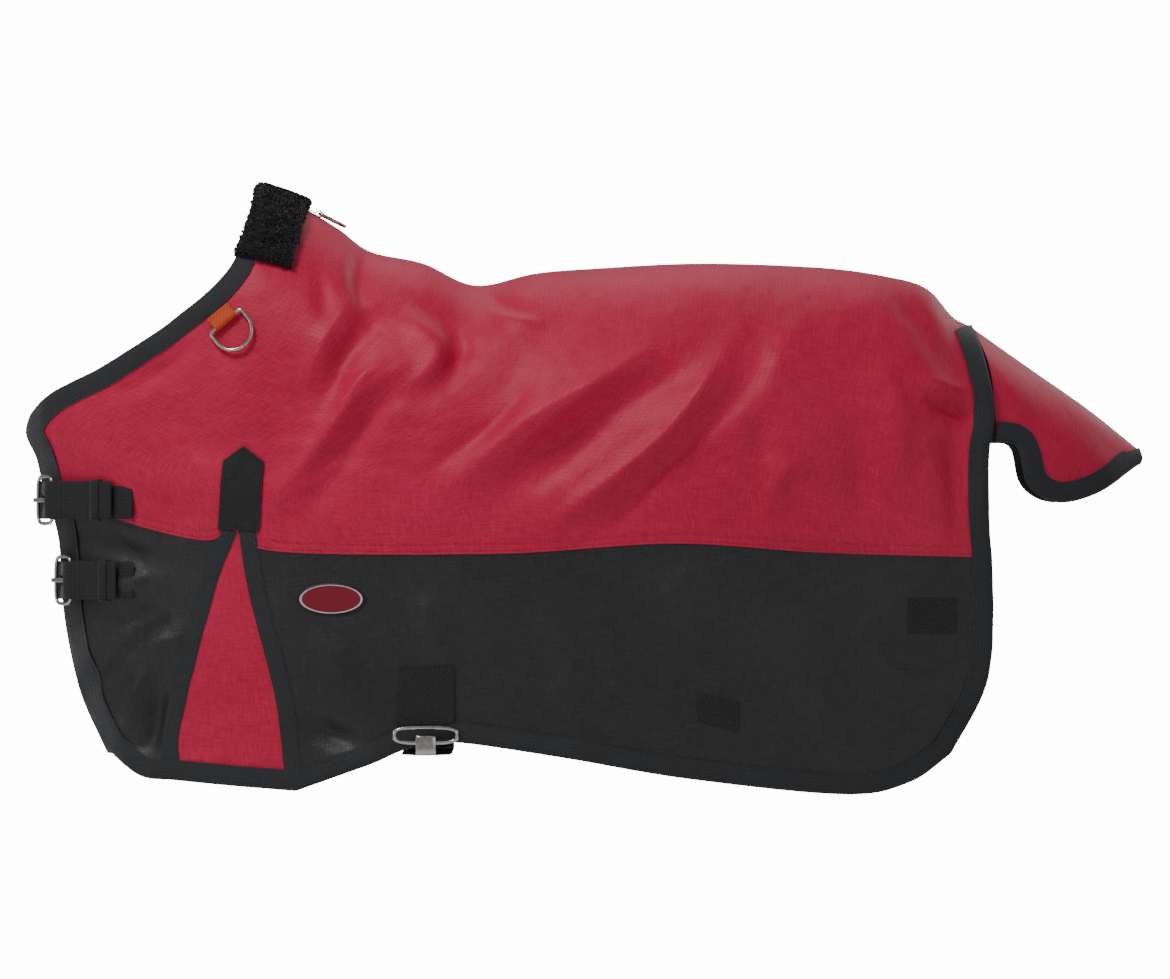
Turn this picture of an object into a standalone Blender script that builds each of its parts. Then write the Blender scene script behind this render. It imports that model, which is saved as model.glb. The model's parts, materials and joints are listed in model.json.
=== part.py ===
"""Turnout rug for a small pony: quilted cloth body, tail flap, straps and hardware.

Metres, +Z up, +X towards the tail, -Y is the near side. The origin is the point of the
back behind the withers on which the lining rests.
"""
import math

import bpy
import numpy as np
from mathutils import Vector
from mathutils.bvhtree import BVHTree

for old in list(bpy.data.objects):
    bpy.data.objects.remove(old, do_unlink=True)

# ---------------------------------------------------------------- driving dimensions
NECK_HALF = 0.118          # half widths of the body the rug hangs on
SHOULDER_HALF = 0.148
BARREL_HALF = 0.186
HIP_HALF = 0.176
REAR_HALF = 0.136
ARCH_DEPTH = 0.165         # height over which the back rounds into the flank
BOW_DEPTH = 0.250          # length over which the flank rounds into the chest
CHEST_GAP = 0.009          # half the gap between the two chest edges
CHEST_SPREAD = 0.050       # how far each chest edge moves out below the straps
FLAP_HALF = 0.127          # half width of the tail flap at its seam
FLAP_TIP_HALF = 0.062
FLAP_ARCH = 0.120

SHELL = 0.0018             # outer cloth with its coating
FILL = 0.0038              # wadding
LINING = 0.0012
LAYER_GAP = 0.0004         # clearance between touching layers
BINDING_GAP = 0.0009       # clearance inside the folded binding
BINDING_WIDTH = 0.018
BINDING = 0.0011           # tape thickness
TAPE_WIDTH = 0.019
TAPE = 0.0012
PATCH = 0.0020             # sewn webbing patch
WEB = 0.0022               # strap webbing
STRAP_WIDTH = 0.038
BELLY_WIDTH = 0.050
LEG_WIDTH = 0.025
WIRE = 0.0019              # radius of the small rings' wire
BAR = 0.0022               # radius of buckle and receiver bars
RING_SIZE = 0.040
SEAT = 0.0003              # gap under a piece sewn on the shell
TAPE_SEAT = 0.0001         # the same under the thin tapes, which bridge the seams
FIT = 0.0004               # clearance of webbing round a bar

STACK = SHELL + FILL + LINING + 2 * LAYER_GAP

# ---------------------------------------------------------------- outlines, (x, z)
CREST = [(-0.215, 0.100), (-0.169, 0.083), (-0.136, 0.064), (-0.105, 0.042), (-0.052, 0.030),
         (0.000, 0.008), (0.060, 0.020), (0.120, 0.025), (0.225, 0.030), (0.344, 0.026),
         (0.412, 0.017), (0.452, 0.005), (0.478, -0.023), (0.496, -0.033)]
NECK = [(-0.215, 0.100), (-0.222, 0.068), (-0.245, 0.018), (-0.296, -0.028), (-0.365, -0.073),
        (-0.424, -0.104), (-0.4475, -0.135), (-0.437, -0.165), (-0.430, -0.197)]
CHEST = [(-0.430, -0.197), (-0.415, -0.245), (-0.409, -0.324), (-0.393, -0.395), (-0.365, -0.454)]
FRONT_HEM = [(-0.365, -0.454), (-0.332, -0.479), (-0.300, -0.483)]
FRONT_SEAM = [(-0.430, -0.197), (-0.385, -0.215), (-0.325, -0.235), (-0.265, -0.247), (-0.243, -0.236)]
GUSSET_TOP = [(-0.243, -0.236), (-0.234, -0.233), (-0.225, -0.236)]
GUSSET_FRONT = [(-0.243, -0.236), (-0.264, -0.290), (-0.286, -0.372), (-0.302, -0.440), (-0.300, -0.483)]
GUSSET_REAR = [(-0.225, -0.236), (-0.214, -0.302), (-0.189, -0.400), (-0.178, -0.493)]
GUSSET_HEM = [(-0.300, -0.483), (-0.245, -0.488), (-0.178, -0.493)]
REAR_SEAM = [(-0.225, -0.236), (-0.195, -0.258), (0.025, -0.260), (0.197, -0.250),
             (0.344, -0.259), (0.512, -0.264)]
REAR_UPPER = [(0.496, -0.033), (0.508, -0.073), (0.5145, -0.121), (0.509, -0.160),
              (0.509, -0.220), (0.512, -0.264)]
REAR_LOWER = [(0.512, -0.264), (0.513, -0.320), (0.506, -0.390), (0.471, -0.457)]
REAR_HEM = [(-0.178, -0.493), (-0.105, -0.467), (-0.070, -0.452), (-0.025, -0.444), (0.085, -0.459),
            (0.209, -0.480), (0.365, -0.496), (0.430, -0.485), (0.471, -0.457)]
FLAP_CREST = [(0.4995, -0.0355), (0.554, -0.074), (0.614, -0.116), (0.664, -0.156)]
FLAP_HEM = [(0.5175, -0.147), (0.541, -0.152), (0.552, -0.190), (0.580, -0.207), (0.620, -0.198),
            (0.659, -0.172)]
FLAP_SEAM = [(0.4995, -0.0355), (0.5115, -0.073), (0.518, -0.121), (0.5175, -0.147)]
FLAP_TIP = [(0.664, -0.156), (0.6655, -0.164), (0.659, -0.172)]


# ---------------------------------------------------------------- curves and surface
def spline(points, steps=14):
    """Dense polyline of a Catmull-Rom curve through the points."""
    pts = [np.array(p, float) for p in points]
    pts = [2 * pts[0] - pts[1]] + pts + [2 * pts[-1] - pts[-2]]
    out = []
    for a, b, c, d in zip(pts, pts[1:], pts[2:], pts[3:]):
        for k in range(steps):
            t = k / steps
            out.append(0.5 * (2 * b + (c - a) * t + (2 * a - 5 * b + 4 * c - d) * t ** 2
                              + (3 * b - a - 3 * c + d) * t ** 3))
    out.append(pts[-2])
    return np.array(out)


def along(points, fractions):
    """Points of the curve at fractions of its length."""
    dense = spline(points)
    length = np.concatenate([[0], np.cumsum(np.linalg.norm(np.diff(dense, axis=0), axis=1))])
    length = length / length[-1]
    return np.array([[np.interp(f, length, dense[:, k]) for k in range(dense.shape[1])] for f in fractions])


CREST_DENSE = spline(CREST)
NECK_DENSE = spline(NECK)
FOREMOST = int(np.argmin(NECK_DENSE[:, 0]))
CHEST_DENSE = np.concatenate([NECK_DENSE[FOREMOST:-1], spline(CHEST)])[::-1]
FLAP_DENSE = spline(FLAP_CREST)
WIDTH_KNOTS = [(-0.45, NECK_HALF), (-0.22, SHOULDER_HALF), (0.06, BARREL_HALF),
               (0.32, HIP_HALF), (0.52, REAR_HALF)]
WIDTH_DENSE = spline(WIDTH_KNOTS)


def crest(x):
    return float(np.interp(x, CREST_DENSE[:, 0], CREST_DENSE[:, 1]))


def roundness(depth, full):
    """Quarter-round: 0 at depth 0, 1 from full depth on."""
    v = min(max(depth / full, 0.0), 1.0)
    return math.sqrt(1 - (1 - v) ** 2)


def body_half(x, z):
    """Half width of the rug's outer face at (x, z)."""
    arch = roundness(crest(x) - z, ARCH_DEPTH)
    front = float(np.interp(z, CHEST_DENSE[:, 1], CHEST_DENSE[:, 0]))
    bow = roundness(x - front + 0.0002, BOW_DEPTH)
    spread = min(max((-0.33 - z) / 0.13, 0.0), 1.0)
    edge = CHEST_GAP + CHEST_SPREAD * spread ** 2
    width = float(np.interp(x, WIDTH_DENSE[:, 0], WIDTH_DENSE[:, 1]))
    return arch * (edge + (width - edge) * bow)


def flap_half(x, z):
    """Half width of the tail flap's outer face at (x, z)."""
    top = float(np.interp(x, FLAP_DENSE[:, 0], FLAP_DENSE[:, 1]))
    run = min(max((x - FLAP_CREST[0][0]) / (FLAP_CREST[-1][0] - FLAP_CREST[0][0]), 0.0), 1.0)
    width = FLAP_HALF + (FLAP_TIP_HALF - FLAP_HALF) * run ** 2
    return width * roundness(top - z, FLAP_ARCH)


def normal_at(half, x, z):
    """Outward normal of the near side y = -half(x, z)."""
    step = 0.0015
    here = half(x, z)
    if here < 1e-5:
        return Vector((0, 0, 1))
    dx = (half(x + step, z) - half(x - step, z)) / (2 * step)
    dz = (half(x, z + step) - half(x, z - step)) / (2 * step)
    return Vector((-dx, -1, -dz)).normalized()


class Cloth:
    """Shared faceted surface of both sides, from which the layers are offset."""

    def __init__(self, half, crest_points):
        self.half = half
        self.top = spline(crest_points)
        self.verts = []
        self.normals = []
        self.index = {}
        self.cells = {}
        self.outline = set()

    def vertex(self, x, z, side, on_crest):
        y = 0.0 if on_crest else self.half(x, z)
        key = (round(x, 6), round(y * side, 6), round(z, 6))
        if key not in self.index:
            if on_crest:
                slope = np.interp(x + 0.002, self.top[:, 0], self.top[:, 1])
                slope = (slope - np.interp(x - 0.002, self.top[:, 0], self.top[:, 1])) / 0.004
                normal = Vector((-slope, 0, 1)).normalized()
            else:
                normal = normal_at(self.half, x, z)
                normal = Vector((normal.x, -normal.y * side, normal.z))
            self.index[key] = len(self.verts)
            self.verts.append(Vector((x, y * side, z)))
            self.normals.append(normal)
        return self.index[key]

    def patch(self, name, grid, bound, crest_row=False):
        """Add a grid of (x, z) on both sides; bound names its outline edges."""
        columns, rows = len(grid), len(grid[0])
        for side, label in ((-1, "near"), (1, "off")):
            ids = [[self.vertex(*grid[i][j], side, crest_row and j == 0) for j in range(rows)]
                   for i in range(columns)]
            for i in range(columns - 1):
                for j in range(rows - 1):
                    quad = (ids[i][j], ids[i][j + 1], ids[i + 1][j + 1], ids[i + 1][j])
                    self.cells[name, label, i, j] = quad if side < 0 else (quad[0],) + quad[:0:-1]
            for i in range(columns - 1):
                if "bottom" in bound:
                    self.outline.add(frozenset((ids[i][-1], ids[i + 1][-1])))
            for j in range(rows - 1):
                if "left" in bound:
                    self.outline.add(frozenset((ids[0][j], ids[0][j + 1])))
                if "right" in bound:
                    self.outline.add(frozenset((ids[-1][j], ids[-1][j + 1])))

    def pick(self, test):
        return [quad for key, quad in self.cells.items() if test(*key)]


def coons(top, bottom, left, right, us, vs):
    """Grid of (x, z) between four boundary rows of points."""
    grid = []
    for i, u in enumerate(us):
        row = []
        for j, v in enumerate(vs):
            point = (1 - v) * top[i] + v * bottom[i] + (1 - u) * left[j] + u * right[j]
            corner = ((1 - u) * (1 - v) * top[0] + u * (1 - v) * top[-1]
                      + (1 - u) * v * bottom[0] + u * v * bottom[-1])
            row.append(point - corner)
        grid.append(row)
    return grid


def band(grid, edge, width=BINDING_WIDTH):
    """Insert a row of points at the binding's width from one edge of the grid."""
    def between(a, b):
        return a + (b - a) * min(width / np.linalg.norm(b - a), 0.9)
    if edge == "left":
        return [grid[0], [between(a, b) for a, b in zip(grid[0], grid[1])]] + grid[1:]
    if edge == "right":
        return grid[:-1] + [[between(a, b) for a, b in zip(grid[-1], grid[-2])], grid[-1]]
    return [row[:-1] + [between(row[-1], row[-2]), row[-1]] for row in grid]


# ---------------------------------------------------------------- solids
def new_object(name, verts, faces, material):
    mesh = bpy.data.meshes.new(name)
    mesh.from_pydata([tuple(v) for v in verts], [], faces)
    mesh.materials.append(material)
    mesh.update()
    obj = bpy.data.objects.new(name, mesh)
    bpy.context.collection.objects.link(obj)
    return obj


def edge_users(quads):
    """Boundary edges of a set of faces, in their face's direction, with that face."""
    seen = {}
    for quad in quads:
        for a, b in zip(quad, quad[1:] + quad[:1]):
            seen[(a, b)] = quad
    return {edge: quad for edge, quad in seen.items() if (edge[1], edge[0]) not in seen}


def edge_shift(verts, borders, amount):
    """In-plane move of each border vertex, by amount(edge) towards the inside."""
    around = {}
    for (a, b), quad in borders.items():
        p, q, r, s = (verts[v] for v in quad)
        inward = (r - p).cross(s - q).cross(verts[b] - verts[a]).normalized()
        for v in (a, b):
            around.setdefault(v, []).append((inward, amount((a, b))))
    shift = {}
    for v, pairs in around.items():
        (n1, s1), (n2, s2) = pairs[0], pairs[-1]
        c = n1.dot(n2)
        if c > 0.92:
            shift[v] = (n1 * s1 + n2 * s2) / 2
        else:
            shift[v] = (n1 * (s1 - c * s2) + n2 * (s2 - c * s1)) / (1 - c * c)
    return shift


def plate(name, cloth, quads, low, high, material, inset=LAYER_GAP):
    """Closed layer between two offsets from the shared surface."""
    verts, normals = cloth.verts, cloth.normals
    borders = edge_users(quads)
    shift = edge_shift(verts, borders, lambda edge: inset)
    used = sorted({v for quad in quads for v in quad})
    place = {v: k for k, v in enumerate(used)}
    count = len(used)
    base = [verts[v] + shift.get(v, Vector()) for v in used]
    points = [p + normals[v] * low for p, v in zip(base, used)]
    points += [p + normals[v] * high for p, v in zip(base, used)]
    faces = []
    for quad in quads:
        a, b, c, d = (place[v] for v in quad)
        faces += [(a + count, b + count, c + count), (a + count, c + count, d + count)]
        faces += [(c, b, a), (d, c, a)]
    for a, b in borders:
        a, b = place[a], place[b]
        faces += [(a, b, b + count), (a, b + count, a + count)]
    return new_object(name, points, faces, material)


def channel(name, cloth, quads, stack, material):
    """Binding folded round the layers' edge: two skins joined by a wall at the outline."""
    verts, normals = cloth.verts, cloth.normals
    borders = edge_users(quads)
    rim = [edge for edge in borders if frozenset(edge) in cloth.outline]
    cut = [edge for edge in borders if frozenset(edge) not in cloth.outline]
    used = sorted({v for quad in quads for v in quad})
    place = {v: k for k, v in enumerate(used)}
    count = len(used)
    points = []
    levels = [(BINDING_GAP + BINDING, BINDING_GAP + BINDING), (BINDING_GAP, BINDING_GAP),
              (-stack - BINDING_GAP, BINDING_GAP), (-stack - BINDING_GAP - BINDING, BINDING_GAP + BINDING)]
    for height, reach in levels:
        shift = edge_shift(verts, borders,
                           lambda edge: -reach if frozenset(edge) in cloth.outline else LAYER_GAP)
        points += [verts[v] + shift.get(v, Vector()) + normals[v] * height for v in used]
    faces = []

    def side(a, b, first, second):
        a, b = place[a], place[b]
        faces.append((a + first * count, b + first * count, b + second * count))
        faces.append((a + first * count, b + second * count, a + second * count))

    for quad in quads:
        a, b, c, d = (place[v] for v in quad)
        for level, flip in ((0, False), (1, True), (2, False), (3, True)):
            k = level * count
            tris = [(a + k, b + k, c + k), (a + k, c + k, d + k)]
            faces += [t[::-1] for t in tris] if flip else tris
    for a, b in rim:
        side(a, b, 3, 0)
        side(a, b, 1, 2)
    for a, b in cut:
        side(a, b, 1, 0)
        side(a, b, 3, 2)
    ends = {}
    for a, b in rim:
        ends[a] = ends.get(a, 0) + 1
        ends[b] = ends.get(b, 0) - 1
    for v, balance in ends.items():
        if balance:
            k = place[v]
            ring = (k, k + count, k + 2 * count, k + 3 * count)
            ring = ring if balance > 0 else ring[::-1]
            faces += [(ring[0], ring[1], ring[2]), (ring[0], ring[2], ring[3])]
    return new_object(name, points, faces, material)


def sheet_solid(name, centre, normals, thickness, material, skip=()):
    """Closed sheet from a grid of mid-surface points and normals; skip leaves holes."""
    columns, rows = len(centre), len(centre[0])
    verts = [centre[i][j] for i in range(columns) for j in range(rows)]
    norms = [normals[i][j] for i in range(columns) for j in range(rows)]
    quads = [(i * rows + j, i * rows + j + 1, (i + 1) * rows + j + 1, (i + 1) * rows + j)
             for i in range(columns - 1) for j in range(rows - 1) if (i, j) not in skip]
    a, b, _, d = quads[0]
    if (verts[b] - verts[a]).cross(verts[d] - verts[a]).dot(norms[a]) < 0:
        quads = [quad[::-1] for quad in quads]
    holder = Cloth(None, FLAP_CREST)
    holder.verts, holder.normals = verts, norms
    return plate(name, holder, quads, -thickness / 2, thickness / 2, material, inset=0.0)


def tube(name, path, radius, material, closed=True, sides=8, plane=None):
    """Round bar swept along a path that lies in one plane."""
    count = len(path)
    points, faces = [], []
    for k in range(count):
        before = path[(k - 1) % count] if closed or k else path[k]
        after = path[(k + 1) % count] if closed or k < count - 1 else path[k]
        tangent = (after - before).normalized()
        across = tangent.cross(plane).normalized()
        for s in range(sides):
            angle = 2 * math.pi * s / sides
            points.append(path[k] + (across * math.cos(angle) + plane * math.sin(angle)) * radius)
    for k in range(count if closed else count - 1):
        n = (k + 1) % count
        for s in range(sides):
            t = (s + 1) % sides
            a, b, c, d = k * sides + s, k * sides + t, n * sides + t, n * sides + s
            faces += [(a, b, c), (a, c, d)]
    if not closed:
        first = len(points)
        points += [path[0], path[-1]]
        last = (count - 1) * sides
        for s in range(sides):
            t = (s + 1) % sides
            faces += [(first, s, t)[::-1], (first + 1, last + s, last + t)]
    obj = new_object(name, points, faces, material)
    return outward(obj)


def outward(obj):
    """Turn a closed mesh so that its faces point out."""
    volume = 0.0
    mesh = obj.data
    for poly in mesh.polygons:
        a, b, c = (mesh.vertices[v].co for v in poly.vertices[:3])
        volume += a.dot(b.cross(c))
    if volume < 0:
        mesh.flip_normals()
    return obj


def seat_origin(obj, pivot):
    """Put a moving piece's origin on its joint's axis."""
    for vertex in obj.data.vertices:
        vertex.co -= pivot
    obj.location = pivot
    return obj


# ---------------------------------------------------------------- materials
def paint(name, colour, roughness, metallic=0.0):
    material = bpy.data.materials.new(name)
    material.use_nodes = True
    shader = material.node_tree.nodes["Principled BSDF"]
    shader.inputs["Base Color"].default_value = (*colour, 1)
    shader.inputs["Roughness"].default_value = roughness
    shader.inputs["Metallic"].default_value = metallic
    return material


RED = paint("red_ripstop", (0.43, 0.022, 0.050), 0.55)
BLACK = paint("black_cloth", (0.020, 0.020, 0.022), 0.60)
BINDING_CLOTH = paint("binding_tape", (0.013, 0.016, 0.018), 0.80)
WADDING = paint("wadding", (0.72, 0.72, 0.70), 0.95)
LINING_CLOTH = paint("lining_cloth", (0.025, 0.026, 0.030), 0.45)
FLEECE = paint("black_fleece", (0.014, 0.016, 0.020), 0.95)
BLACK_WEB = paint("black_webbing", (0.016, 0.016, 0.018), 0.75)
ORANGE_WEB = paint("orange_webbing", (0.60, 0.095, 0.020), 0.75)
NICKEL = paint("nickel", (0.62, 0.60, 0.57), 0.25, 1.0)
LABEL = paint("label_cloth", (0.30, 0.030, 0.045), 0.60)

# ---------------------------------------------------------------- cloth body
rug = Cloth(body_half, CREST)
FRONT_COLUMNS = np.linspace(0, 1, 5)
REAR_COLUMNS = np.linspace(0, 1, 12)
LOWER_ROWS = np.linspace(0, 1, 5)
UPPER_ROWS = np.array([0, 0.03, 0.10, 0.20, 0.33, 0.50, 0.75, 1.0])

front_top = along(FRONT_SEAM, FRONT_COLUMNS)
gusset_top = along(GUSSET_TOP, [0, 1])
rear_top = along(REAR_SEAM, REAR_COLUMNS)
upper_bottom = np.array(list(front_top) + [gusset_top[1]] + list(rear_top[1:]))
upper_us = (upper_bottom[:, 0] - upper_bottom[0, 0]) / (upper_bottom[-1, 0] - upper_bottom[0, 0])
upper = coons(along(CREST, upper_us), upper_bottom, along(NECK, UPPER_ROWS),
              along(REAR_UPPER, UPPER_ROWS), upper_us, UPPER_ROWS)
upper = band(band(upper, "left"), "right")

front = coons(front_top, along(FRONT_HEM, FRONT_COLUMNS), along(CHEST, LOWER_ROWS),
              along(GUSSET_FRONT, LOWER_ROWS), FRONT_COLUMNS, LOWER_ROWS)
gusset = coons(gusset_top, along(GUSSET_HEM, [0, 1]), along(GUSSET_FRONT, LOWER_ROWS),
               along(GUSSET_REAR, LOWER_ROWS), [0, 1], LOWER_ROWS)
rear = coons(rear_top, along(REAR_HEM, REAR_COLUMNS), along(GUSSET_REAR, LOWER_ROWS),
             along(REAR_LOWER, LOWER_ROWS), REAR_COLUMNS, LOWER_ROWS)
rug.patch("upper", upper, ("left", "right"), crest_row=True)
rug.patch("front", band(band(front, "bottom"), "left"), ("left", "bottom"))
rug.patch("gusset", band(gusset, "bottom"), ("bottom",))
rug.patch("rear", band(band(rear, "bottom"), "right"), ("right", "bottom"))

UPPER_LAST = len(upper) - 2
FRONT_LAST = len(LOWER_ROWS) - 1
REAR_LAST = len(REAR_COLUMNS) - 1

SHELL_LEVELS = (-SHELL, 0.0)
FILL_LEVELS = (-SHELL - LAYER_GAP - FILL, -SHELL - LAYER_GAP)
LINING_LEVELS = (-STACK, -STACK + LINING)

plate("upper_shell", rug, rug.pick(lambda p, s, i, j: p == "upper"), *SHELL_LEVELS, RED)
plate("filling", rug, rug.pick(lambda p, s, i, j: True), *FILL_LEVELS, WADDING)
plate("lining", rug, rug.pick(lambda p, s, i, j: True), *LINING_LEVELS, LINING_CLOTH)
for side in ("near", "off"):
    plate("front_panel_" + side, rug, rug.pick(lambda p, s, i, j: p == "front" and s == side),
          *SHELL_LEVELS, BLACK)
    plate("rear_panel_" + side, rug, rug.pick(lambda p, s, i, j: p == "rear" and s == side),
          *SHELL_LEVELS, BLACK)
    plate("gusset_" + side, rug, rug.pick(lambda p, s, i, j: p == "gusset" and s == side),
          *SHELL_LEVELS, RED)
    channel("front_binding_" + side, rug, rug.pick(
        lambda p, s, i, j: s == side and ((p == "upper" and i == 0)
                                          or (p == "front" and (i == 0 or j == FRONT_LAST)))), STACK, BINDING_CLOTH)
    channel("gusset_binding_" + side, rug, rug.pick(
        lambda p, s, i, j: s == side and p == "gusset" and j == FRONT_LAST), STACK, BINDING_CLOTH)
    channel("rear_binding_" + side, rug, rug.pick(
        lambda p, s, i, j: s == side and ((p == "upper" and i == UPPER_LAST)
                                          or (p == "rear" and (i == REAR_LAST or j == FRONT_LAST)))),
        STACK, BINDING_CLOTH)

# fleece over the crest of the neck, outside the binding
FLEECE_LOW = BINDING_GAP + BINDING + SEAT
plate("withers_fleece", rug, rug.pick(lambda p, s, i, j: p == "upper" and i < 2 and j < 3),
      FLEECE_LOW, FLEECE_LOW + 0.012, FLEECE, inset=-0.003)

# ---------------------------------------------------------------- tail flap
FLAP_COLUMNS = np.linspace(0, 1, 6)
FLAP_ROWS = np.array([0, 0.08, 0.25, 0.5, 0.75, 1.0])
flap = Cloth(flap_half, FLAP_CREST)
flap_grid = coons(along(FLAP_CREST, FLAP_COLUMNS), along(FLAP_HEM, FLAP_COLUMNS),
                  along(FLAP_SEAM, FLAP_ROWS), along(FLAP_TIP, FLAP_ROWS), FLAP_COLUMNS, FLAP_ROWS)
flap.patch("flap", band(band(flap_grid, "bottom"), "right"), ("bottom", "right"), crest_row=True)
FLAP_LAST = len(FLAP_COLUMNS) - 1
FLAP_ROW_LAST = len(FLAP_ROWS) - 1
FLAP_STACK = SHELL + LAYER_GAP + LINING
FLAP_PIVOT = Vector((0.4975, 0.0, -0.0345))
flap_pieces = [
    plate("tail_flap_shell", flap, flap.pick(lambda p, s, i, j: True), -SHELL, 0.0, RED),
    plate("tail_flap_lining", flap, flap.pick(lambda p, s, i, j: True), -FLAP_STACK,
          -FLAP_STACK + LINING, LINING_CLOTH),
    channel("tail_flap_binding", flap, flap.pick(
        lambda p, s, i, j: i == FLAP_LAST or j == FLAP_ROW_LAST), FLAP_STACK, BINDING_CLOTH)]
for piece in flap_pieces:
    seat_origin(piece, FLAP_PIVOT)

# ---------------------------------------------------------------- pieces sewn on the shell
def tree_of(objects):
    """Search tree over the triangles of some finished objects."""
    verts, faces = [], []
    for obj in objects:
        start = len(verts)
        verts += [tuple(v.co + obj.location) for v in obj.data.vertices]
        faces += [tuple(start + v for v in poly.vertices) for poly in obj.data.polygons]
    return BVHTree.FromPolygons(verts, faces)


BODY = tree_of([obj for obj in bpy.data.objects if not obj.name.startswith(("tail", "withers"))])


def shell_point(x, z, side=-1):
    """Point of the rug's outer face seen from one side."""
    return BODY.ray_cast(Vector((x, side, z)), Vector((0, -side, 0)))[0]


def smooth_normal(x, z, side=-1):
    normal = normal_at(body_half, x, z)
    return Vector((normal.x, -normal.y * side, normal.z))


def gap_under(points, normals, half_thickness):
    """Smallest signed distance from the body to the under face of a grid."""
    least = 1.0
    under = [[p - n * half_thickness for p, n in zip(*rows)] for rows in zip(points, normals)]
    for i in range(len(under) - 1):
        for j in range(len(under[0]) - 1):
            a, b, c, d = under[i][j], under[i + 1][j], under[i + 1][j + 1], under[i][j + 1]
            for s in range(5):
                for t in range(5):
                    high, low = max(s, t) / 4, min(s, t) / 4
                    for middle in (b, d):
                        q = a + (middle - a) * high + (c - middle) * low
                        place, normal, _, _ = BODY.find_nearest(q)
                        least = min(least, (q - place).dot(normal))
    return least


def seated(points, normals, thickness, gap=SEAT):
    """Move a grid along its normals until its under face is just clear of the body."""
    for _ in range(4):
        lift = gap - gap_under(points, normals, thickness / 2)
        points = [[p + n * lift for p, n in zip(*rows)] for rows in zip(points, normals)]
    return points


def sewn(name, outline_grid, thickness, material, side=-1, gap=SEAT):
    """Patch lying on the body: outline_grid is a grid of (x, z)."""
    normals = [[smooth_normal(x, z, side) for x, z in row] for row in outline_grid]
    points = [[shell_point(x, z, side) + n * thickness for (x, z), n in zip(*rows)]
              for rows in zip(outline_grid, normals)]
    return sheet_solid(name, seated(points, normals, thickness, gap), normals, thickness, material)


def quad_grid(corners, columns, rows):
    """Grid of (x, z) between four corners: top left, top right, bottom right, bottom left."""
    a, b, c, d = (np.array(p) for p in corners)
    us, vs = np.linspace(0, 1, columns + 1), np.linspace(0, 1, rows + 1)
    return [[tuple((1 - v) * ((1 - u) * a + u * b) + v * ((1 - u) * d + u * c)) for v in vs] for u in us]


def tape_grid(line, width, pieces):
    """Grid of (x, z) along a line, two cells wide."""
    middle = along(line, np.linspace(0, 1, pieces + 1))
    grid = []
    for k, point in enumerate(middle):
        step = middle[min(k + 1, pieces)] - middle[max(k - 1, 0)]
        across = np.array((-step[1], step[0])) / np.linalg.norm(step) * width / 2
        grid.append([tuple(point - across), tuple(point), tuple(point + across)])
    return grid


def cut_line(line, low, high):
    return [tuple(p) for p in along(line, np.linspace(low, high, 6))]


POINT_PATCH = [(-0.228, -0.153), (-0.249, -0.168), (-0.252, -0.226), (-0.214, -0.229), (-0.208, -0.169)]
BELLY_PATCH = [(-0.074, -0.374), (-0.020, -0.371), (-0.019, -0.428), (-0.076, -0.430)]
LEG_FRONT_PATCH = [(0.221, -0.398), (0.263, -0.407), (0.262, -0.436), (0.222, -0.425)]
LEG_REAR_PATCH = [(0.430, -0.304), (0.478, -0.304), (0.478, -0.338), (0.430, -0.338)]
for side, sign in (("near", -1), ("off", 1)):
    sewn("gusset_front_tape_" + side, tape_grid(cut_line(GUSSET_FRONT, 0.02, 0.90), TAPE_WIDTH, 9),
         TAPE, BINDING_CLOTH, sign, TAPE_SEAT)
    sewn("gusset_rear_tape_" + side, tape_grid(cut_line(GUSSET_REAR, 0.10, 0.90), TAPE_WIDTH, 9),
         TAPE, BINDING_CLOTH, sign)
    top = np.array(POINT_PATCH[0])
    left = [POINT_PATCH[1], POINT_PATCH[2]]
    right = [POINT_PATCH[4], POINT_PATCH[3]]
    rows = [0.0, 0.33, 0.66, 1.0]
    grid = []
    for u in np.linspace(0, 1, 5):
        head = (1 - u) * np.array(left[0]) + u * np.array(right[0])
        head = head + (0, (top[1] - left[0][1]) * (1 - abs(2 * u - 1)))
        foot = (1 - u) * np.array(left[1]) + u * np.array(right[1])
        grid.append([tuple((1 - v) * head + v * foot) for v in rows])
    sewn("gusset_point_patch_" + side, grid, PATCH, BLACK_WEB, sign)
    sewn("belly_patch_" + side, quad_grid(BELLY_PATCH, 3, 3), PATCH, BLACK_WEB, sign)
    sewn("leg_front_patch_" + side, quad_grid(LEG_FRONT_PATCH, 3, 2), PATCH, BLACK_WEB, sign)
    sewn("leg_rear_patch_" + side, quad_grid(LEG_REAR_PATCH, 3, 2), PATCH, BLACK_WEB, sign)

LABEL_CENTRE = (-0.141, -0.305)
LABEL_HALF = (0.034, 0.0155)
label = []
for u in np.linspace(-1, 1, 7):
    half = LABEL_HALF[1] * math.sqrt(1 - (0.93 * u) ** 2)
    label.append([(LABEL_CENTRE[0] + u * LABEL_HALF[0], LABEL_CENTRE[1] + half * v) for v in (1, 0, -1)])
sewn("label_patch", label, TAPE, LABEL)


# ---------------------------------------------------------------- rings and their tabs
def ring_path(centre, along_bar, down, size, bend=0.32):
    """D shape: straight bar along one side, round bow on the other."""
    half = size / 2
    path = [centre - along_bar * half, centre + along_bar * half]
    path = [path[0] + (path[1] - path[0]) * k / 3 for k in range(4)]
    for k in range(1, 12):
        angle = math.pi * k / 12
        path.append(centre + along_bar * half * math.cos(angle) + down * (bend * size + 0.5 * size * math.sin(angle)))
    return path


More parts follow.
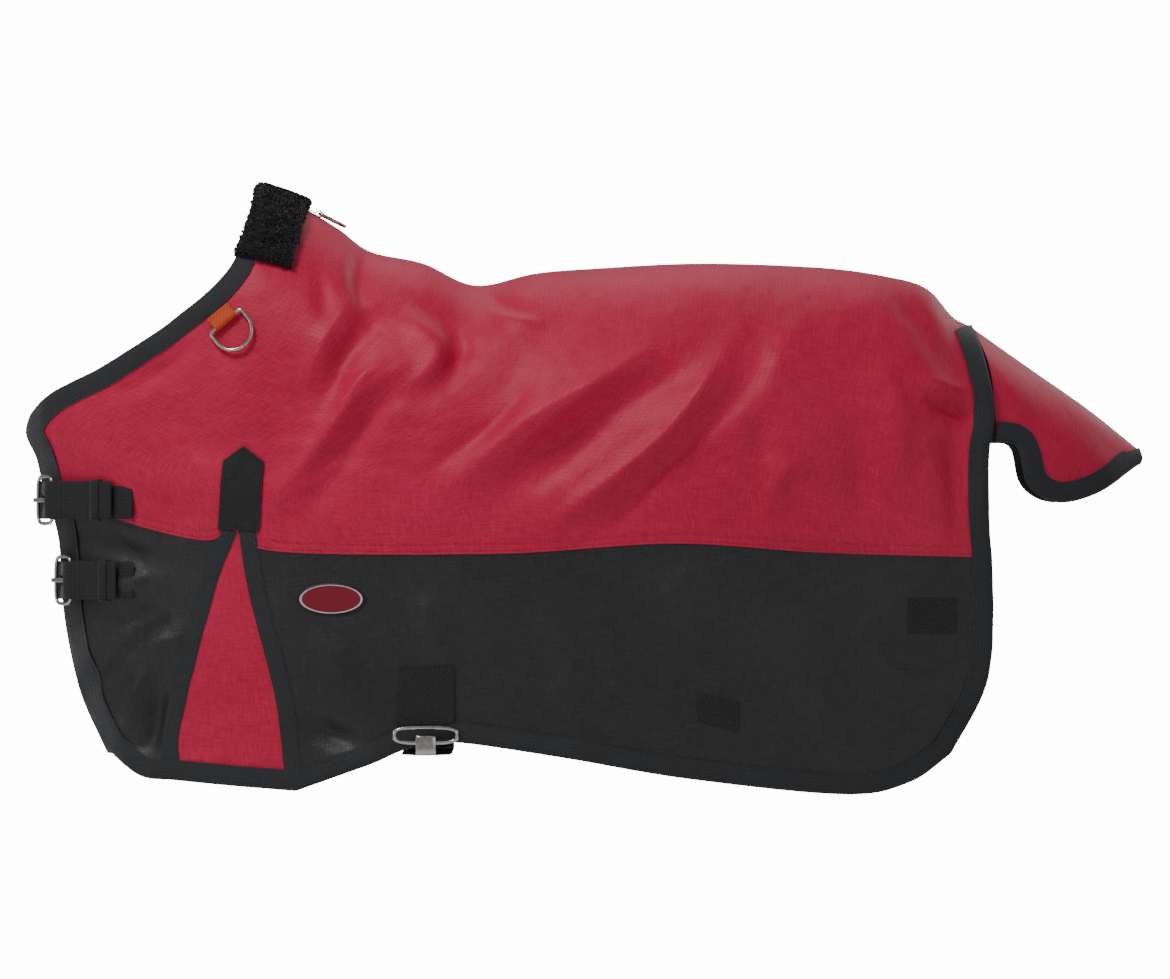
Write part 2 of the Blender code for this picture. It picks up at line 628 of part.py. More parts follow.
def loop_tab(name, bar, along_bar, tail_dir, out, width, tail, material, radius):
    """Webbing folded round a bar, both ends sewn down on the tail side."""
    inner = radius + FIT + TAPE / 2
    lane = inner
    route = [(-tail, -lane), (-tail / 2, -lane), (-inner * 0.9, -lane)]
    for k in range(0, 7):
        angle = -math.pi / 2 + math.pi * k / 6
        route.append((inner * math.cos(angle), inner * math.sin(angle)))
    over = -lane + TAPE + FIT
    route += [(-inner * 1.3, inner * 0.75), (-tail / 2, over), (-tail, over)]
    points, normals = [], []
    for k, (s, h) in enumerate(route):
        before, after = route[max(k - 1, 0)], route[min(k + 1, len(route) - 1)]
        ds, dh = after[0] - before[0], after[1] - before[1]
        size = math.hypot(ds, dh)
        normal = (-tail_dir) * (dh / size) + out * (-ds / size)
        place = bar - tail_dir * s + out * h
        points.append([place - along_bar * width / 2, place + along_bar * width / 2])
        normals.append([normal, normal])
    return sheet_solid(name, points, normals, TAPE, material)


def tab_and_ring(label, spot, along_bar, down, out, size, width, tail, material):
    """D-ring lying on the rug and the webbing that holds its bar."""
    height = TAPE + FIT + WIRE
    corners = [[spot - down * tail + along_bar * width / 2 * k, spot + along_bar * width / 2 * k]
               for k in (-1, 0, 1)]
    flat = seated(corners, [[out, out]] * 3, 0.0)
    bar = flat[1][1] + out * height
    ring = tube(label + "_ring", ring_path(bar, along_bar, down, size), WIRE, NICKEL, plane=out)
    seat_origin(ring, bar)
    loop_tab(label + "_tab", bar, along_bar, -down, out, width, tail, material, WIRE)
    print(label, "ring bar", [round(v, 5) for v in bar], "along", [round(v, 5) for v in along_bar])


NECK_RING_SPOT = (-0.246, -0.030)
for side, sign in (("near", -1), ("off", 1)):
    place = shell_point(*NECK_RING_SPOT, sign)
    out = smooth_normal(*NECK_RING_SPOT, sign)
    slope = Vector((0.78, 0, 0.62))
    along_bar = (slope - out * slope.dot(out)).normalized()
    down = along_bar.cross(out)
    down = down if down.z < 0 else -down
    tab_and_ring("neck_" + side, place, along_bar, down, out, RING_SIZE, 0.026, 0.014, ORANGE_WEB)

WITHERS_RING_X = -0.157
low, high = (BODY.ray_cast(Vector((x, 0.002, 1)), Vector((0, 0, -1)))[0] for x in (WITHERS_RING_X - 0.010,
                                                                                   WITHERS_RING_X))
back = Vector((high.x - low.x, 0, high.z - low.z)).normalized()
tab_and_ring("withers", Vector((high.x, 0, high.z)), Vector((0, 1, 0)), back,
             Vector((-back.z, 0, back.x)), RING_SIZE * 0.85, 0.020, 0.011, ORANGE_WEB)


# ---------------------------------------------------------------- chest straps
BUCKLE_LENGTH = 0.030
BUCKLE_Y = -0.034
BUCKLE_HALF = 0.0235
TONGUE = 0.0015
TONGUE_WIDTH = 0.0045
SLOT = 0.11                # half of the tongue slot, as a share of the strap's width
CHEST_STRAPS = {"upper": (-0.207, -0.105, 0.112), "lower": (-0.287, -0.098, 0.112)}


def front_point(y, z):
    """Point of the chest seen from the front; the gap between the edges is bridged."""
    reach = math.copysign(max(abs(y), CHEST_GAP + 0.006), y)
    hits = [BODY.ray_cast(Vector((-1, reach, z + dz)), Vector((1, 0, 0)))[0]
            for dz in np.linspace(-BUCKLE_HALF, BUCKLE_HALF, 5)]
    return Vector((min(hit.x for hit in hits if hit), y, z))


def chest_route(z, ys):
    """Points round the chest at one height, with outward normals in the horizontal plane."""
    points = [front_point(y, z) for y in ys]
    normals = []
    for k in range(len(points)):
        step = points[min(k + 1, len(points) - 1)] - points[max(k - 1, 0)]
        normals.append(Vector((-abs(step.y), step.x * (1 if step.y > 0 else -1), 0)).normalized())
    return points, normals


def ribbon_rows(points, width, shares=(-0.5, 0, 0.5)):
    return [[p + Vector((0, 0, width * share)) for share in shares] for p in points]


def turned(route):
    """Normals of a route in a horizontal plane."""
    out = []
    for k in range(len(route)):
        step = (route[min(k + 1, len(route) - 1)] - route[max(k - 1, 0)]).normalized()
        out.append(Vector((-step.y, step.x, 0)))
    return out


for label, (z, near_end, off_end) in CHEST_STRAPS.items():
    heel_y = BUCKLE_Y - BUCKLE_LENGTH / 2
    centre, out = (rows[1] for rows in chest_route(z, [BUCKLE_Y - 0.012, BUCKLE_Y, BUCKLE_Y + 0.012]))
    toward = Vector((out.y, -out.x, 0))
    ys = list(np.linspace(near_end, heel_y - 0.004, 6))
    points, normals = chest_route(z, ys)
    rows = seated(ribbon_rows(points, STRAP_WIDTH), [[n] * 3 for n in normals], WEB)
    base = [row[1] for row in rows]
    sewn_normals = normals
    # heel bar just off the end of the sewn webbing, which folds round it
    inner = BAR + 1.5 * FIT + WEB / 2
    heel_out = normals[-1]
    heel_dir = Vector((heel_out.y, -heel_out.x, 0))
    heel = base[-1] + heel_dir * 0.004 + heel_out * (inner + 3 * FIT)
    route = base + [heel + (heel_dir * math.cos(a) + heel_out * math.sin(a)) * inner
                    for a in np.radians([-90, -60, -30, 0, 30, 60, 90])]
    route += [heel - heel_dir * 0.006 + heel_out * inner * 0.8,
              base[-2] + normals[-2] * (WEB + FIT * 1.5), base[-3] + normals[-3] * (WEB + FIT * 1.5)]
    turn = turned(route)
    strap = ribbon_rows(route, STRAP_WIDTH, (-0.5, -SLOT, SLOT, 0.5))
    slot = {(k, 1) for k in range(len(base) - 1, len(base) + 7)}
    sheet_solid(label + "_buckle_strap", strap, [[n] * 4 for n in turn], WEB, BLACK_WEB, slot)

    far = front_point(heel.y + 0.027, z) + out * (SEAT + BINDING_GAP + BINDING + WEB + FIT + BAR + 0.003)
    reach = (far - heel).normalized()
    face = Vector((reach.y, -reach.x, 0))
    face = face if face.x < 0 else -face
    up = Vector((0, 0, 1))
    span = (far - heel).length
    frame_path = [heel + reach * d + up * h * BUCKLE_HALF for d, h in (
        (0, -0.8), (0, -0.3), (0, 0.3), (0, 0.8), (0.15 * span, 1), (0.5 * span, 1), (0.85 * span, 1),
        (span, 0.8), (span, 0), (span, -0.8), (0.85 * span, -1), (0.5 * span, -1), (0.15 * span, -1))]
    tube(label + "_buckle", frame_path, BAR, NICKEL, plane=face)

    eye = BAR + FIT + TONGUE / 2
    pin = [heel + (reach * math.cos(t) + face * math.sin(t)) * eye
           for t in np.radians([-60, -110, -160, -205, -250, -280])]
    pin += [heel + reach * 0.006 + face * eye, heel + reach * (span + BAR + 0.001) + face * (eye + 0.0002)]
    tongue = sheet_solid(label + "_tongue", ribbon_rows(pin, TONGUE_WIDTH, (-0.5, 0.5)), [[n] * 2 for n in turned(pin)],
                         TONGUE, NICKEL)
    seat_origin(tongue, heel)

    points, normals = chest_route(z, list(np.linspace(off_end, 0.010, 9)))
    rows = seated(ribbon_rows(points, STRAP_WIDTH), [[n] * 3 for n in normals], WEB)
    trail = [row[1] for row in rows]
    under = BAR + FIT + WEB / 2
    over = BAR + FIT + WEB + 3 * FIT + WEB / 2
    trail += [far + reach * 0.004 - face * under, far - reach * 0.005 - face * under,
              heel + reach * 0.012 + face * (over * 0.35), heel + reach * 0.003 + face * over,
              heel - heel_dir * 0.006 + heel_out * (over + 0.0004)]
    raised = WEB * 2 + FIT * 3.5
    trail += [base[k] + normal * raised for k, normal in ((-2, sewn_normals[-2]), (-3, sewn_normals[-3]),
                                                          (-4, sewn_normals[-4]), (-5, sewn_normals[-5]))]
    hole = {(len(rows) + 1, 1), (len(rows) + 2, 1)}
    sheet_solid(label + "_billet", ribbon_rows(trail, STRAP_WIDTH, (-0.5, -SLOT, SLOT, 0.5)),
                [[-n] * 4 for n in turned(trail)], WEB, BLACK_WEB, hole)

    spot, lift = base[-4], sewn_normals[-4]
    along_strap = Vector((lift.y, -lift.x, 0))
    wide = STRAP_WIDTH / 2 + FIT + TAPE / 2
    tall = raised + WEB / 2 + FIT + TAPE / 2
    loop = [(-wide, -WEB / 2), (-wide, tall), (wide, tall), (wide, -WEB / 2)]
    facing = [(-1, 0), (-1, 1), (1, 1), (1, 0)]
    sheet_solid(label + "_keeper",
                [[spot + up * h + lift * v + along_strap * w for w in (-0.005, 0.005)] for h, v in loop],
                [[up * h + lift * v] * 2 for h, v in facing], TAPE, BLACK_WEB)
    print(label, "heel bar", [round(v, 5) for v in heel])

# ---------------------------------------------------------------- belly strap
RECEIVER = (-0.0475, -0.4395)
RECEIVER_HALF = (0.031, 0.0075)
HOOK = 0.0020
HOOK_WIDTH = 0.020
STRAP_LEVEL = -0.4590
PATCHED = tree_of([obj for obj in bpy.data.objects if not obj.name.startswith(("tail", "withers"))])


def outermost(side, z, low, high):
    """Largest |y| of the finished pieces at one height between two x."""
    hits = [PATCHED.ray_cast(Vector((x, side, z)), Vector((0, -side, 0)))[0] for x in np.linspace(low, high, 7)]
    return max(abs(hit.y) for hit in hits if hit)


left, right = RECEIVER[0] - RECEIVER_HALF[0], RECEIVER[0] + RECEIVER_HALF[0]
proud = max(outermost(-1, RECEIVER[1] + dz, left, right) for dz in (-0.006, 0, RECEIVER_HALF[1]))
bar_y = -(proud + SEAT + BAR)
receiver = [Vector((RECEIVER[0] + a * RECEIVER_HALF[0], bar_y, RECEIVER[1] + b * RECEIVER_HALF[1])) for a, b in (
    (-1, -0.5), (-1, 0.5), (-0.8, 1), (0, 1), (0.8, 1), (1, 0.5), (1, -0.5), (0.8, -1), (0, -1), (-0.8, -1))]
tube("belly_receiver", receiver, BAR, NICKEL, plane=Vector((0, -1, 0)))

low_bar = RECEIVER[1] - RECEIVER_HALF[1]
turn_radius = BAR + FIT + HOOK / 2 + 0.0003
hook_route = [(bar_y + 0.070, STRAP_LEVEL, BELLY_WIDTH), (bar_y + 0.045, STRAP_LEVEL, BELLY_WIDTH),
              (bar_y + 0.032, STRAP_LEVEL, HOOK_WIDTH), (bar_y + 0.012, STRAP_LEVEL, HOOK_WIDTH)]
for angle in np.radians([-90, -120, -150, -180]):
    hook_route.append((bar_y + turn_radius * math.cos(angle),
                       STRAP_LEVEL + turn_radius + turn_radius * math.sin(angle), HOOK_WIDTH))
hook_route.append((bar_y - turn_radius, low_bar + 0.007, HOOK_WIDTH))
hook_points = [[Vector((RECEIVER[0] + w * width / 2, y, z)) for w in (-1, 1)] for y, z, width in hook_route]


def turned_yz(route):
    out = []
    for k in range(len(route)):
        first, last = route[max(k - 1, 0)], route[min(k + 1, len(route) - 1)]
        step = Vector((0, last[0] - first[0], last[1] - first[1])).normalized()
        out.append(Vector((0, -step.z, step.y)))
    return out


hook = sheet_solid("belly_hook", hook_points, [[n] * 2 for n in turned_yz(hook_route)], HOOK, NICKEL)
strap_low = RECEIVER[0] - BELLY_WIDTH / 2
strap_high = RECEIVER[0] + BELLY_WIDTH / 2
off_y = max(outermost(1, z, strap_low, strap_high) for z in (-0.433, -0.440, -0.446)) + SEAT + WEB / 2
top_z = min(BELLY_PATCH[2][1], BELLY_PATCH[3][1]) - FIT
strap_route = [(off_y, top_z), (off_y, top_z - 0.010), (off_y, STRAP_LEVEL + 0.009),
               (off_y - 0.0026, STRAP_LEVEL + 0.0026), (off_y - 0.009, STRAP_LEVEL)]
strap_route += [(y, STRAP_LEVEL) for y in np.linspace(off_y - 0.06, bar_y + 0.070 + SEAT, 6)]
strap = sheet_solid("belly_strap", [[Vector((RECEIVER[0] + w * BELLY_WIDTH / 2, y, z)) for w in (-1, 1)]
                                    for y, z in strap_route], [[n] * 2 for n in turned_yz(strap_route)], WEB,
                    BLACK_WEB)
BELLY_PIVOT = Vector((RECEIVER[0], off_y, top_z))
seat_origin(strap, BELLY_PIVOT)
seat_origin(hook, BELLY_PIVOT)
print("belly pivot", [round(v, 5) for v in BELLY_PIVOT], "bar", round(bar_y, 5), round(low_bar, 5))

# ---------------------------------------------------------------- leg straps
LEG_FRONT = (0.243, -0.412)
LEG_REAR = (0.452, -0.332)
LEG_RING = 0.026
SNAP_WIRE = 0.0018
SNAP_TURN = 0.0065
SNAP_LENGTH = 0.032
BOLT = 0.0014
LEG_DIP = 0.050


def inner_y(x, z, side):
    return abs(BODY.ray_cast(Vector((x, 0, z)), Vector((0, side, 0)))[0].y)


def clear_of_body(points, room, side):
    """Move towards the middle that leaves the points the given room to the lining."""
    def room_at(q):
        place, normal, _, _ = BODY.find_nearest(q)
        return (q - place).dot(normal)
    move = Vector()
    for _ in range(4):
        least = min(room_at(q + move) for q in points)
        move += Vector((0, -side * (room - least), 0))
    return move


for side, sign in (("near", -1), ("off", 1)):
    a_y = inner_y(*LEG_FRONT, sign)
    b_y = inner_y(*LEG_REAR, sign)
    pull = Vector((LEG_FRONT[0] + 0.06 - LEG_REAR[0], 0, LEG_FRONT[1] - 0.06 - LEG_REAR[1])).normalized()
    bar_dir = Vector((-pull.z, 0, pull.x))
    down = (pull + Vector((0, -sign * 0.75, 0))).normalized()
    ring_bar = Vector((LEG_REAR[0], sign * b_y, LEG_REAR[1]))
    ring_bar += clear_of_body(ring_path(ring_bar, bar_dir, down, LEG_RING), SEAT + WIRE, sign)
    tube("leg_ring_" + side, ring_path(ring_bar, bar_dir, down, LEG_RING), WIRE, NICKEL,
         plane=bar_dir.cross(down).normalized())
    grip = ring_bar + down * LEG_RING * 0.82
    flat = Vector((pull.x, 0, pull.z)).normalized()
    lean = bar_dir.cross(flat).normalized() * -sign
    snap_path = [(SNAP_LENGTH, 0), (0.012, 0), (0.008, 0.4), (0.004, 0.85)]
    snap_path = [(d, m * SNAP_TURN) for d, m in snap_path]
    snap_path += [(-SNAP_TURN * math.sin(t), SNAP_TURN * math.cos(t)) for t in np.radians([0, 30, 60, 90, 120, 150, 180])]
    snap_path.append((0.003, -SNAP_TURN))
    tube("leg_snap_" + side, [grip + flat * d + lean * m for d, m in snap_path], SNAP_WIRE, NICKEL,
                closed=False, plane=bar_dir)
    bolt_start = grip + flat * (0.003 + SEAT) - lean * SNAP_TURN
    bolt = tube("leg_bolt_" + side, [bolt_start + flat * d for d in (0, 0.008, 0.009, 0.016)],
                BOLT, NICKEL, closed=False, plane=bar_dir)
    end = grip + flat * (SNAP_LENGTH + SEAT)
    start = Vector((LEG_FRONT[0], sign * a_y, LEG_FRONT[1]))
    sewn_end = [start + Vector((w * LEG_WIDTH / 2, 0, h)) for w in (-1, 0, 1) for h in (0.012, 0, -0.010)]
    start += clear_of_body(sewn_end, SEAT + WEB / 2, sign)
    in_y = -sign
    mid_y = min(abs(end.y), a_y - 0.020)
    stations = [(start + Vector((-0.002, 0, 0.012)), 0.0), (start, 0.0),
                (start + Vector((0.004, in_y * 0.004, -0.014)), 0.15),
                (start + Vector((0.020, in_y * 0.016, -0.036)), 0.6),
                (Vector((0.300, sign * mid_y, start.z - LEG_DIP)), 1.0),
                (Vector((0.345, sign * mid_y, start.z - LEG_DIP + 0.004)), 1.0),
                (end + flat * 0.030 + Vector((0, 0, -0.004)), 1.0), (end, 1.0)]
    points, normals = [], []
    for k, (place, twist) in enumerate(stations):
        step = (stations[min(k + 1, 7)][0] - stations[max(k - 1, 0)][0]).normalized()
        sewn_across = Vector((1, 0, 0)) - step * step.x
        loose_across = Vector((0, 1, 0)) - step * step.y
        across = (sewn_across.normalized() * (1 - twist) + loose_across.normalized() * twist).normalized()
        points.append([place - across * LEG_WIDTH / 2, place + across * LEG_WIDTH / 2])
        normals.append([step.cross(across).normalized()] * 2)
    sheet_solid("leg_strap_" + side, points, normals, WEB * 0.8, BLACK_WEB)
    seat_origin(bolt, bolt_start)
    print("leg", side, "start", [round(v, 5) for v in start], "grip", [round(v, 5) for v in grip],
          "pull", [round(v, 5) for v in flat])
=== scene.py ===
import json
import math
import bpy
import bmesh
import numpy as np
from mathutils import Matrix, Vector


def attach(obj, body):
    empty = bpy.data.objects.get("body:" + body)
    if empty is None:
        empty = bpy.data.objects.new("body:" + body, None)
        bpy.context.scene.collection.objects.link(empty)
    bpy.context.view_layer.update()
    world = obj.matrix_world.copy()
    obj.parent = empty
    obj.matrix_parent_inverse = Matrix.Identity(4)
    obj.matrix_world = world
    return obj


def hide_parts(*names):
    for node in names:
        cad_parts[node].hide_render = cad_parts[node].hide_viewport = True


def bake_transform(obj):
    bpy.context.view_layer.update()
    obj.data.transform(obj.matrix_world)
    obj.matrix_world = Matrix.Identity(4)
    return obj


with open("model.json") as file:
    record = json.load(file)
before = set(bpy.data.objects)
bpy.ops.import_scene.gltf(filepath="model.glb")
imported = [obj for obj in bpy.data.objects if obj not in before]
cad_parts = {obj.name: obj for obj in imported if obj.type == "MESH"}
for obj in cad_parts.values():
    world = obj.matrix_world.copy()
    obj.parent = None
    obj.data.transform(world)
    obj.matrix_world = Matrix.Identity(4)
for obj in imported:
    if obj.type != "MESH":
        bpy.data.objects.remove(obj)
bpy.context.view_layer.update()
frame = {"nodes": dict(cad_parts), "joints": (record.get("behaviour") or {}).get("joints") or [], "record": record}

# the body the rug hangs on: half widths along x and outlines seen from the side as (x, z) in millimetres,
# everything else in metres
body = {
    "widths": [(-450, 118), (-220, 148), (60, 186), (320, 176), (520, 136)],
    "archDepth": 0.165, "bowDepth": 0.25,  # how far the back and the chest take to round over
    "straightChest": 0.0182,  # the chest edge is flat for this much, under its binding
    "chestGap": 0.009, "chestSpread": 0.05, "spreadFrom": -0.33, "spreadOver": 0.13,
    "stack": 0.0076,  # outer, wadding and lining together
    "crestFade": 0.012,  # folds die out this close to the crest
    "crest": [(-215, 100), (-169, 83), (-136, 64), (-105, 42), (-52, 30), (0, 8),
              (60, 20), (120, 25), (225, 30), (344, 26), (412, 17), (452, 5),
              (478, -23), (496, -33)],
    "neck": [(-215, 100), (-222, 68), (-245, 18), (-296, -28), (-365, -73),
             (-424, -104), (-447.5, -135), (-437, -165), (-430, -197)],
    "chest": [(-430, -197), (-415, -245), (-409, -324), (-393, -395), (-365, -454)],
    "frontHem": [(-365, -454), (-332, -479), (-300, -483)],
    "frontSeam": [(-430, -197), (-385, -215), (-325, -235), (-265, -247), (-243, -236)],
    "gussetTop": [(-243, -236), (-234, -233), (-225, -236)],
    "gussetFront": [(-243, -236), (-264, -290), (-286, -372), (-302, -440), (-300, -483)],
    "gussetRear": [(-225, -236), (-214, -302), (-189, -400), (-178, -493)],
    "gussetHem": [(-300, -483), (-245, -488), (-178, -493)],
    "rearSeam": [(-225, -236), (-195, -258), (25, -260), (197, -250), (344, -259),
                 (512, -264)],
    "rearUpper": [(496, -33), (508, -73), (514.5, -121), (509, -160), (509, -220),
                  (512, -264)],
    "rearLower": [(512, -264), (513, -320), (506, -390), (471, -457)],
    "rearHem": [(-178, -493), (-105, -467), (-70, -452), (-25, -444), (85, -459),
                (209, -480), (365, -496), (430, -485), (471, -457)],
}
flapForm = {
    "half": 0.127, "tipHalf": 0.062, "arch": 0.12, "stack": 0.0034, "wave": 0.0022,
    "columns": 90, "rows": 56, "crowd": 1.5, "thick": 0.0018, "liningFrom": 0.0022,
    "middle": (0.57, -0.12), "bendFrom": (0.4985, 0, -0.05), "bendTo": (0.56, 0, -0.08),
    "crest": [(499.5, -35.5), (554, -74), (614, -116), (664, -156)],
    "hem": [(517.5, -147), (541, -152), (552, -190), (580, -207), (620, -198),
            (659, -172)],
    "seam": [(499.5, -35.5), (511.5, -73), (518, -121), (517.5, -147)],
    "tip": [(664, -156), (665.5, -164), (659, -172)],
}
for form in body, flapForm:
    for key, value in form.items():
        if isinstance(value, list):
            form[key] = [(x / 1000, z / 1000) for x, z in value]


# smooth line through points
def spline(points, steps=16):
    pts = [np.array(p, float) for p in points]
    pts = [2 * pts[0] - pts[1]] + pts + [2 * pts[-1] - pts[-2]]
    out = []
    for a, b, c, d in zip(pts, pts[1:], pts[2:], pts[3:]):
        for t in np.arange(steps) / steps:
            out.append(0.5 * (2 * b + (c - a) * t + (2 * a - 5 * b + 4 * c - d) * t ** 2
                              + (3 * b - a - 3 * c + d) * t ** 3))
    return np.array(out + [pts[-2]])


def lengths(line):
    return np.concatenate([[0], np.cumsum(np.linalg.norm(np.diff(line, axis=0), axis=1))])


def pick(values, run, places):
    return np.stack([np.interp(places, run, column) for column in values.T], axis=-1)


# places on a line, by share of its length
def share(line, fractions):
    run = lengths(line)
    return pick(line, run / run[-1], fractions)


def along(points, fractions):
    return share(spline(points), fractions)


crestLine = spline(body["crest"])
flapCrest = spline(flapForm["crest"])
widthLine = spline(body["widths"])
neckLine = spline(body["neck"])
foremost = int(np.argmin(neckLine[:, 0]))
chestLine = np.concatenate([neckLine[foremost:-1], spline(body["chest"])])[::-1]


def heightAt(line, x):
    return np.interp(x, line[:, 0], line[:, 1])


# 0 at an edge, rounding over to 1 at full depth
def quarterRound(depth, full):
    v = np.clip(depth / full, 0, 1)
    return np.sqrt(1 - (1 - v) ** 2)


def bodyHalf(x, z):
    arch = quarterRound(heightAt(crestLine, x) - z, body["archDepth"])
    front = np.interp(z, chestLine[:, 1], chestLine[:, 0])
    deep = x - front + 0.0002
    flat = body["straightChest"]
    straightBow = quarterRound(np.array(flat), body["bowDepth"]) * deep / flat
    bow = np.where(deep < flat, np.clip(straightBow, 0, 1), quarterRound(deep, body["bowDepth"]))
    spread = np.clip((body["spreadFrom"] - z) / body["spreadOver"], 0, 1)
    edge = body["chestGap"] + body["chestSpread"] * spread ** 2
    return arch * (edge + (heightAt(widthLine, x) - edge) * bow)


def flapHalf(x, z):
    root, tip = flapForm["crest"][0][0], flapForm["crest"][-1][0]
    run = np.clip((x - root) / (tip - root), 0, 1)
    width = flapForm["half"] + (flapForm["tipHalf"] - flapForm["half"]) * run ** 2
    return width * quarterRound(heightAt(flapCrest, x) - z, flapForm["arch"])


# smooth noise from -1 to 1 on a unit lattice
def latticeNoise(u, v, seed):
    iu, iv = np.floor(u).astype(int), np.floor(v).astype(int)
    fu, fv = u - iu, v - iv
    fu, fv = fu * fu * (3 - 2 * fu), fv * fv * (3 - 2 * fv)

    def corner(a, b):
        h = np.sin(a * 127.1 + b * 311.7 + seed * 74.7) * 43758.5453
        return (h - np.floor(h)) * 2 - 1

    low = corner(iu, iv) * (1 - fu) + corner(iu + 1, iv) * fu
    high = corner(iu, iv + 1) * (1 - fu) + corner(iu + 1, iv + 1) * fu
    return low * (1 - fv) + high * fv


# folds: the line they follow as (x, z), their height and their half width in millimetres, valleys negative
folds = {
    "shoulder": [
        ([(-205, -215), (-150, -150), (-115, -105), (-60, -70)], 6.5, 16),
        ([(-165, -215), (-125, -150), (-95, -110), (-50, -82)], -6, 16),
        ([(-146, -110), (-130, -70), (-113, -45), (-92, -28)], -5.5, 12),
        ([(-166, -95), (-152, -58), (-138, -30), (-118, -6)], 4, 12),
        ([(-60, -6), (-36, -22), (-12, -46), (-24, -82), (-56, -110)],
         -5.2, 12),
        ([(-74, -18), (-52, -38), (-34, -58), (-45, -80), (-80, -102)],
         4.5, 13),
        ([(12, -2), (26, -12), (44, -18), (66, -20)], -2.8, 8),
        ([(18, -18), (40, -28), (70, -30)], 2.6, 10),
        ([(-116, 36), (-112, 10), (-109, -18)], -4.5, 10),
        ([(-158, 30), (-150, -5), (-140, -48)], -2.8, 11),
        ([(-255, -60), (-235, -100), (-210, -150)], 3, 22),
        ([(-345, -98), (-310, -78), (-275, -52)], -3, 9),
        ([(-120, -150), (-150, -185), (-190, -205)], 2.4, 7),
        ([(-85, -70), (-115, -90), (-130, -120)], 2.8, 7),
        ([(-330, -110), (-280, -145), (-235, -165)], -3, 18),
        ([(-400, -150), (-330, -185), (-270, -205)], 3, 20),
    ],
    "barrel": [
        ([(205, -50), (120, -92), (45, -135), (-35, -205)], 7.2, 18),
        ([(235, -66), (160, -102), (85, -150), (20, -210)], -6.6, 19),
        ([(262, -40), (216, -110), (168, -160), (85, -230)], 7, 18),
        ([(285, -70), (240, -130), (190, -185), (130, -238)], -6, 16),
        ([(270, -115), (216, -162), (162, -222), (137, -242)], 5, 12),
        ([(280, -115), (284, -140), (287, -170)], -2.8, 12),
        ([(328, -155), (300, -190), (286, -232)], 3.4, 14),
        ([(100, -10), (60, -50), (30, -100), (-10, -150)], -3.6, 22),
        ([(140, -130), (100, -165), (50, -200)], -3, 10),
        ([(330, -20), (300, -70), (288, -120)], 3, 20),
        ([(235, -85), (190, -140), (120, -200)], 2.2, 6),
        ([(170, -60), (100, -110), (30, -165)], 2.4, 8),
        ([(150, -170), (110, -205), (60, -240)], 2.8, 8),
        ([(60, -90), (10, -140), (-50, -180)], -2.4, 9),
    ],
    "quarter": [
        ([(445, -103), (470, -114), (500, -126)], -5.9, 9),
        ([(440, -88), (468, -98), (500, -106)], 5.2, 10),
        ([(400, -60), (420, -120), (425, -190)], 4.4, 22),
        ([(470, -140), (480, -190), (482, -240)], -4.4, 14),
        ([(370, -120), (385, -180), (380, -240)], -3.4, 18),
        ([(420, 0), (450, -40), (470, -80)], -3.9, 14),
    ],
    "front": [
        ([(-378, -280), (-350, -292), (-325, -280)], 5, 12),
        ([(-350, -362), (-315, -350), (-285, -345)], 5.8, 14),
        ([(-360, -330), (-330, -325), (-300, -318)], -5.4, 12),
        ([(-352, -440), (-335, -400), (-325, -370)], 6, 12),
        ([(-325, -462), (-318, -420), (-312, -385)], -5.4, 10),
        ([(-385, -400), (-368, -365), (-350, -345)], -4.2, 12),
        ([(-395, -235), (-340, -262), (-290, -270)], -4.2, 12),
    ],
    "lower": [
        ([(182, -314), (206, -291), (230, -268)], 3.6, 19),
        ([(239, -362), (266, -340), (294, -318)], 3.6, 21),
        ([(428, -448), (450, -425), (473, -402)], 3.9, 21),
        ([(-160, -330), (-135, -370), (-115, -420)], 3.1, 24),
        ([(-170, -420), (-140, -440), (-110, -445)], -5.4, 11),
        ([(20, -300), (60, -350), (70, -410)], -4.1, 22),
        ([(120, -290), (140, -350), (150, -440)], 3.8, 22),
        ([(330, -300), (345, -370), (352, -450)], -3.8, 22),
        ([(-60, -300), (-40, -330), (-30, -370)], 3.8, 16),
        ([(400, -350), (440, -365), (480, -370)], -4.1, 14),
    ],
}
# places where fittings are sewn on, so the cloth lies flat: (x, z, radius)
flatSpots = [(-0.43, -0.207, 0.05), (-0.41, -0.287, 0.05), (-0.246, -0.032, 0.034),
             (-0.05, -0.405, 0.045), (0.243, -0.412, 0.03), (0.452, -0.325, 0.034),
             (-0.17, 0.085, 0.03), (0.5, -0.03, 0.016)]
drape = {
    "gain": 1.8,  # all folds are this much higher than listed
    "offShift": 0.013,  # the off side's folds lie this much further back
    "parts": 8, "ridge": 1.5, "valley": 2,  # steps along a fold, and how its two kinds fall away
    "crinkles": [(0.0016, (14, 9), (22, -5)), (0.0009, (36, 24), (50, -14)), (0.00035, (120, 0), (150, 40))],
    "sunk": 0.0012,  # cloth under a fitting is pressed in
}


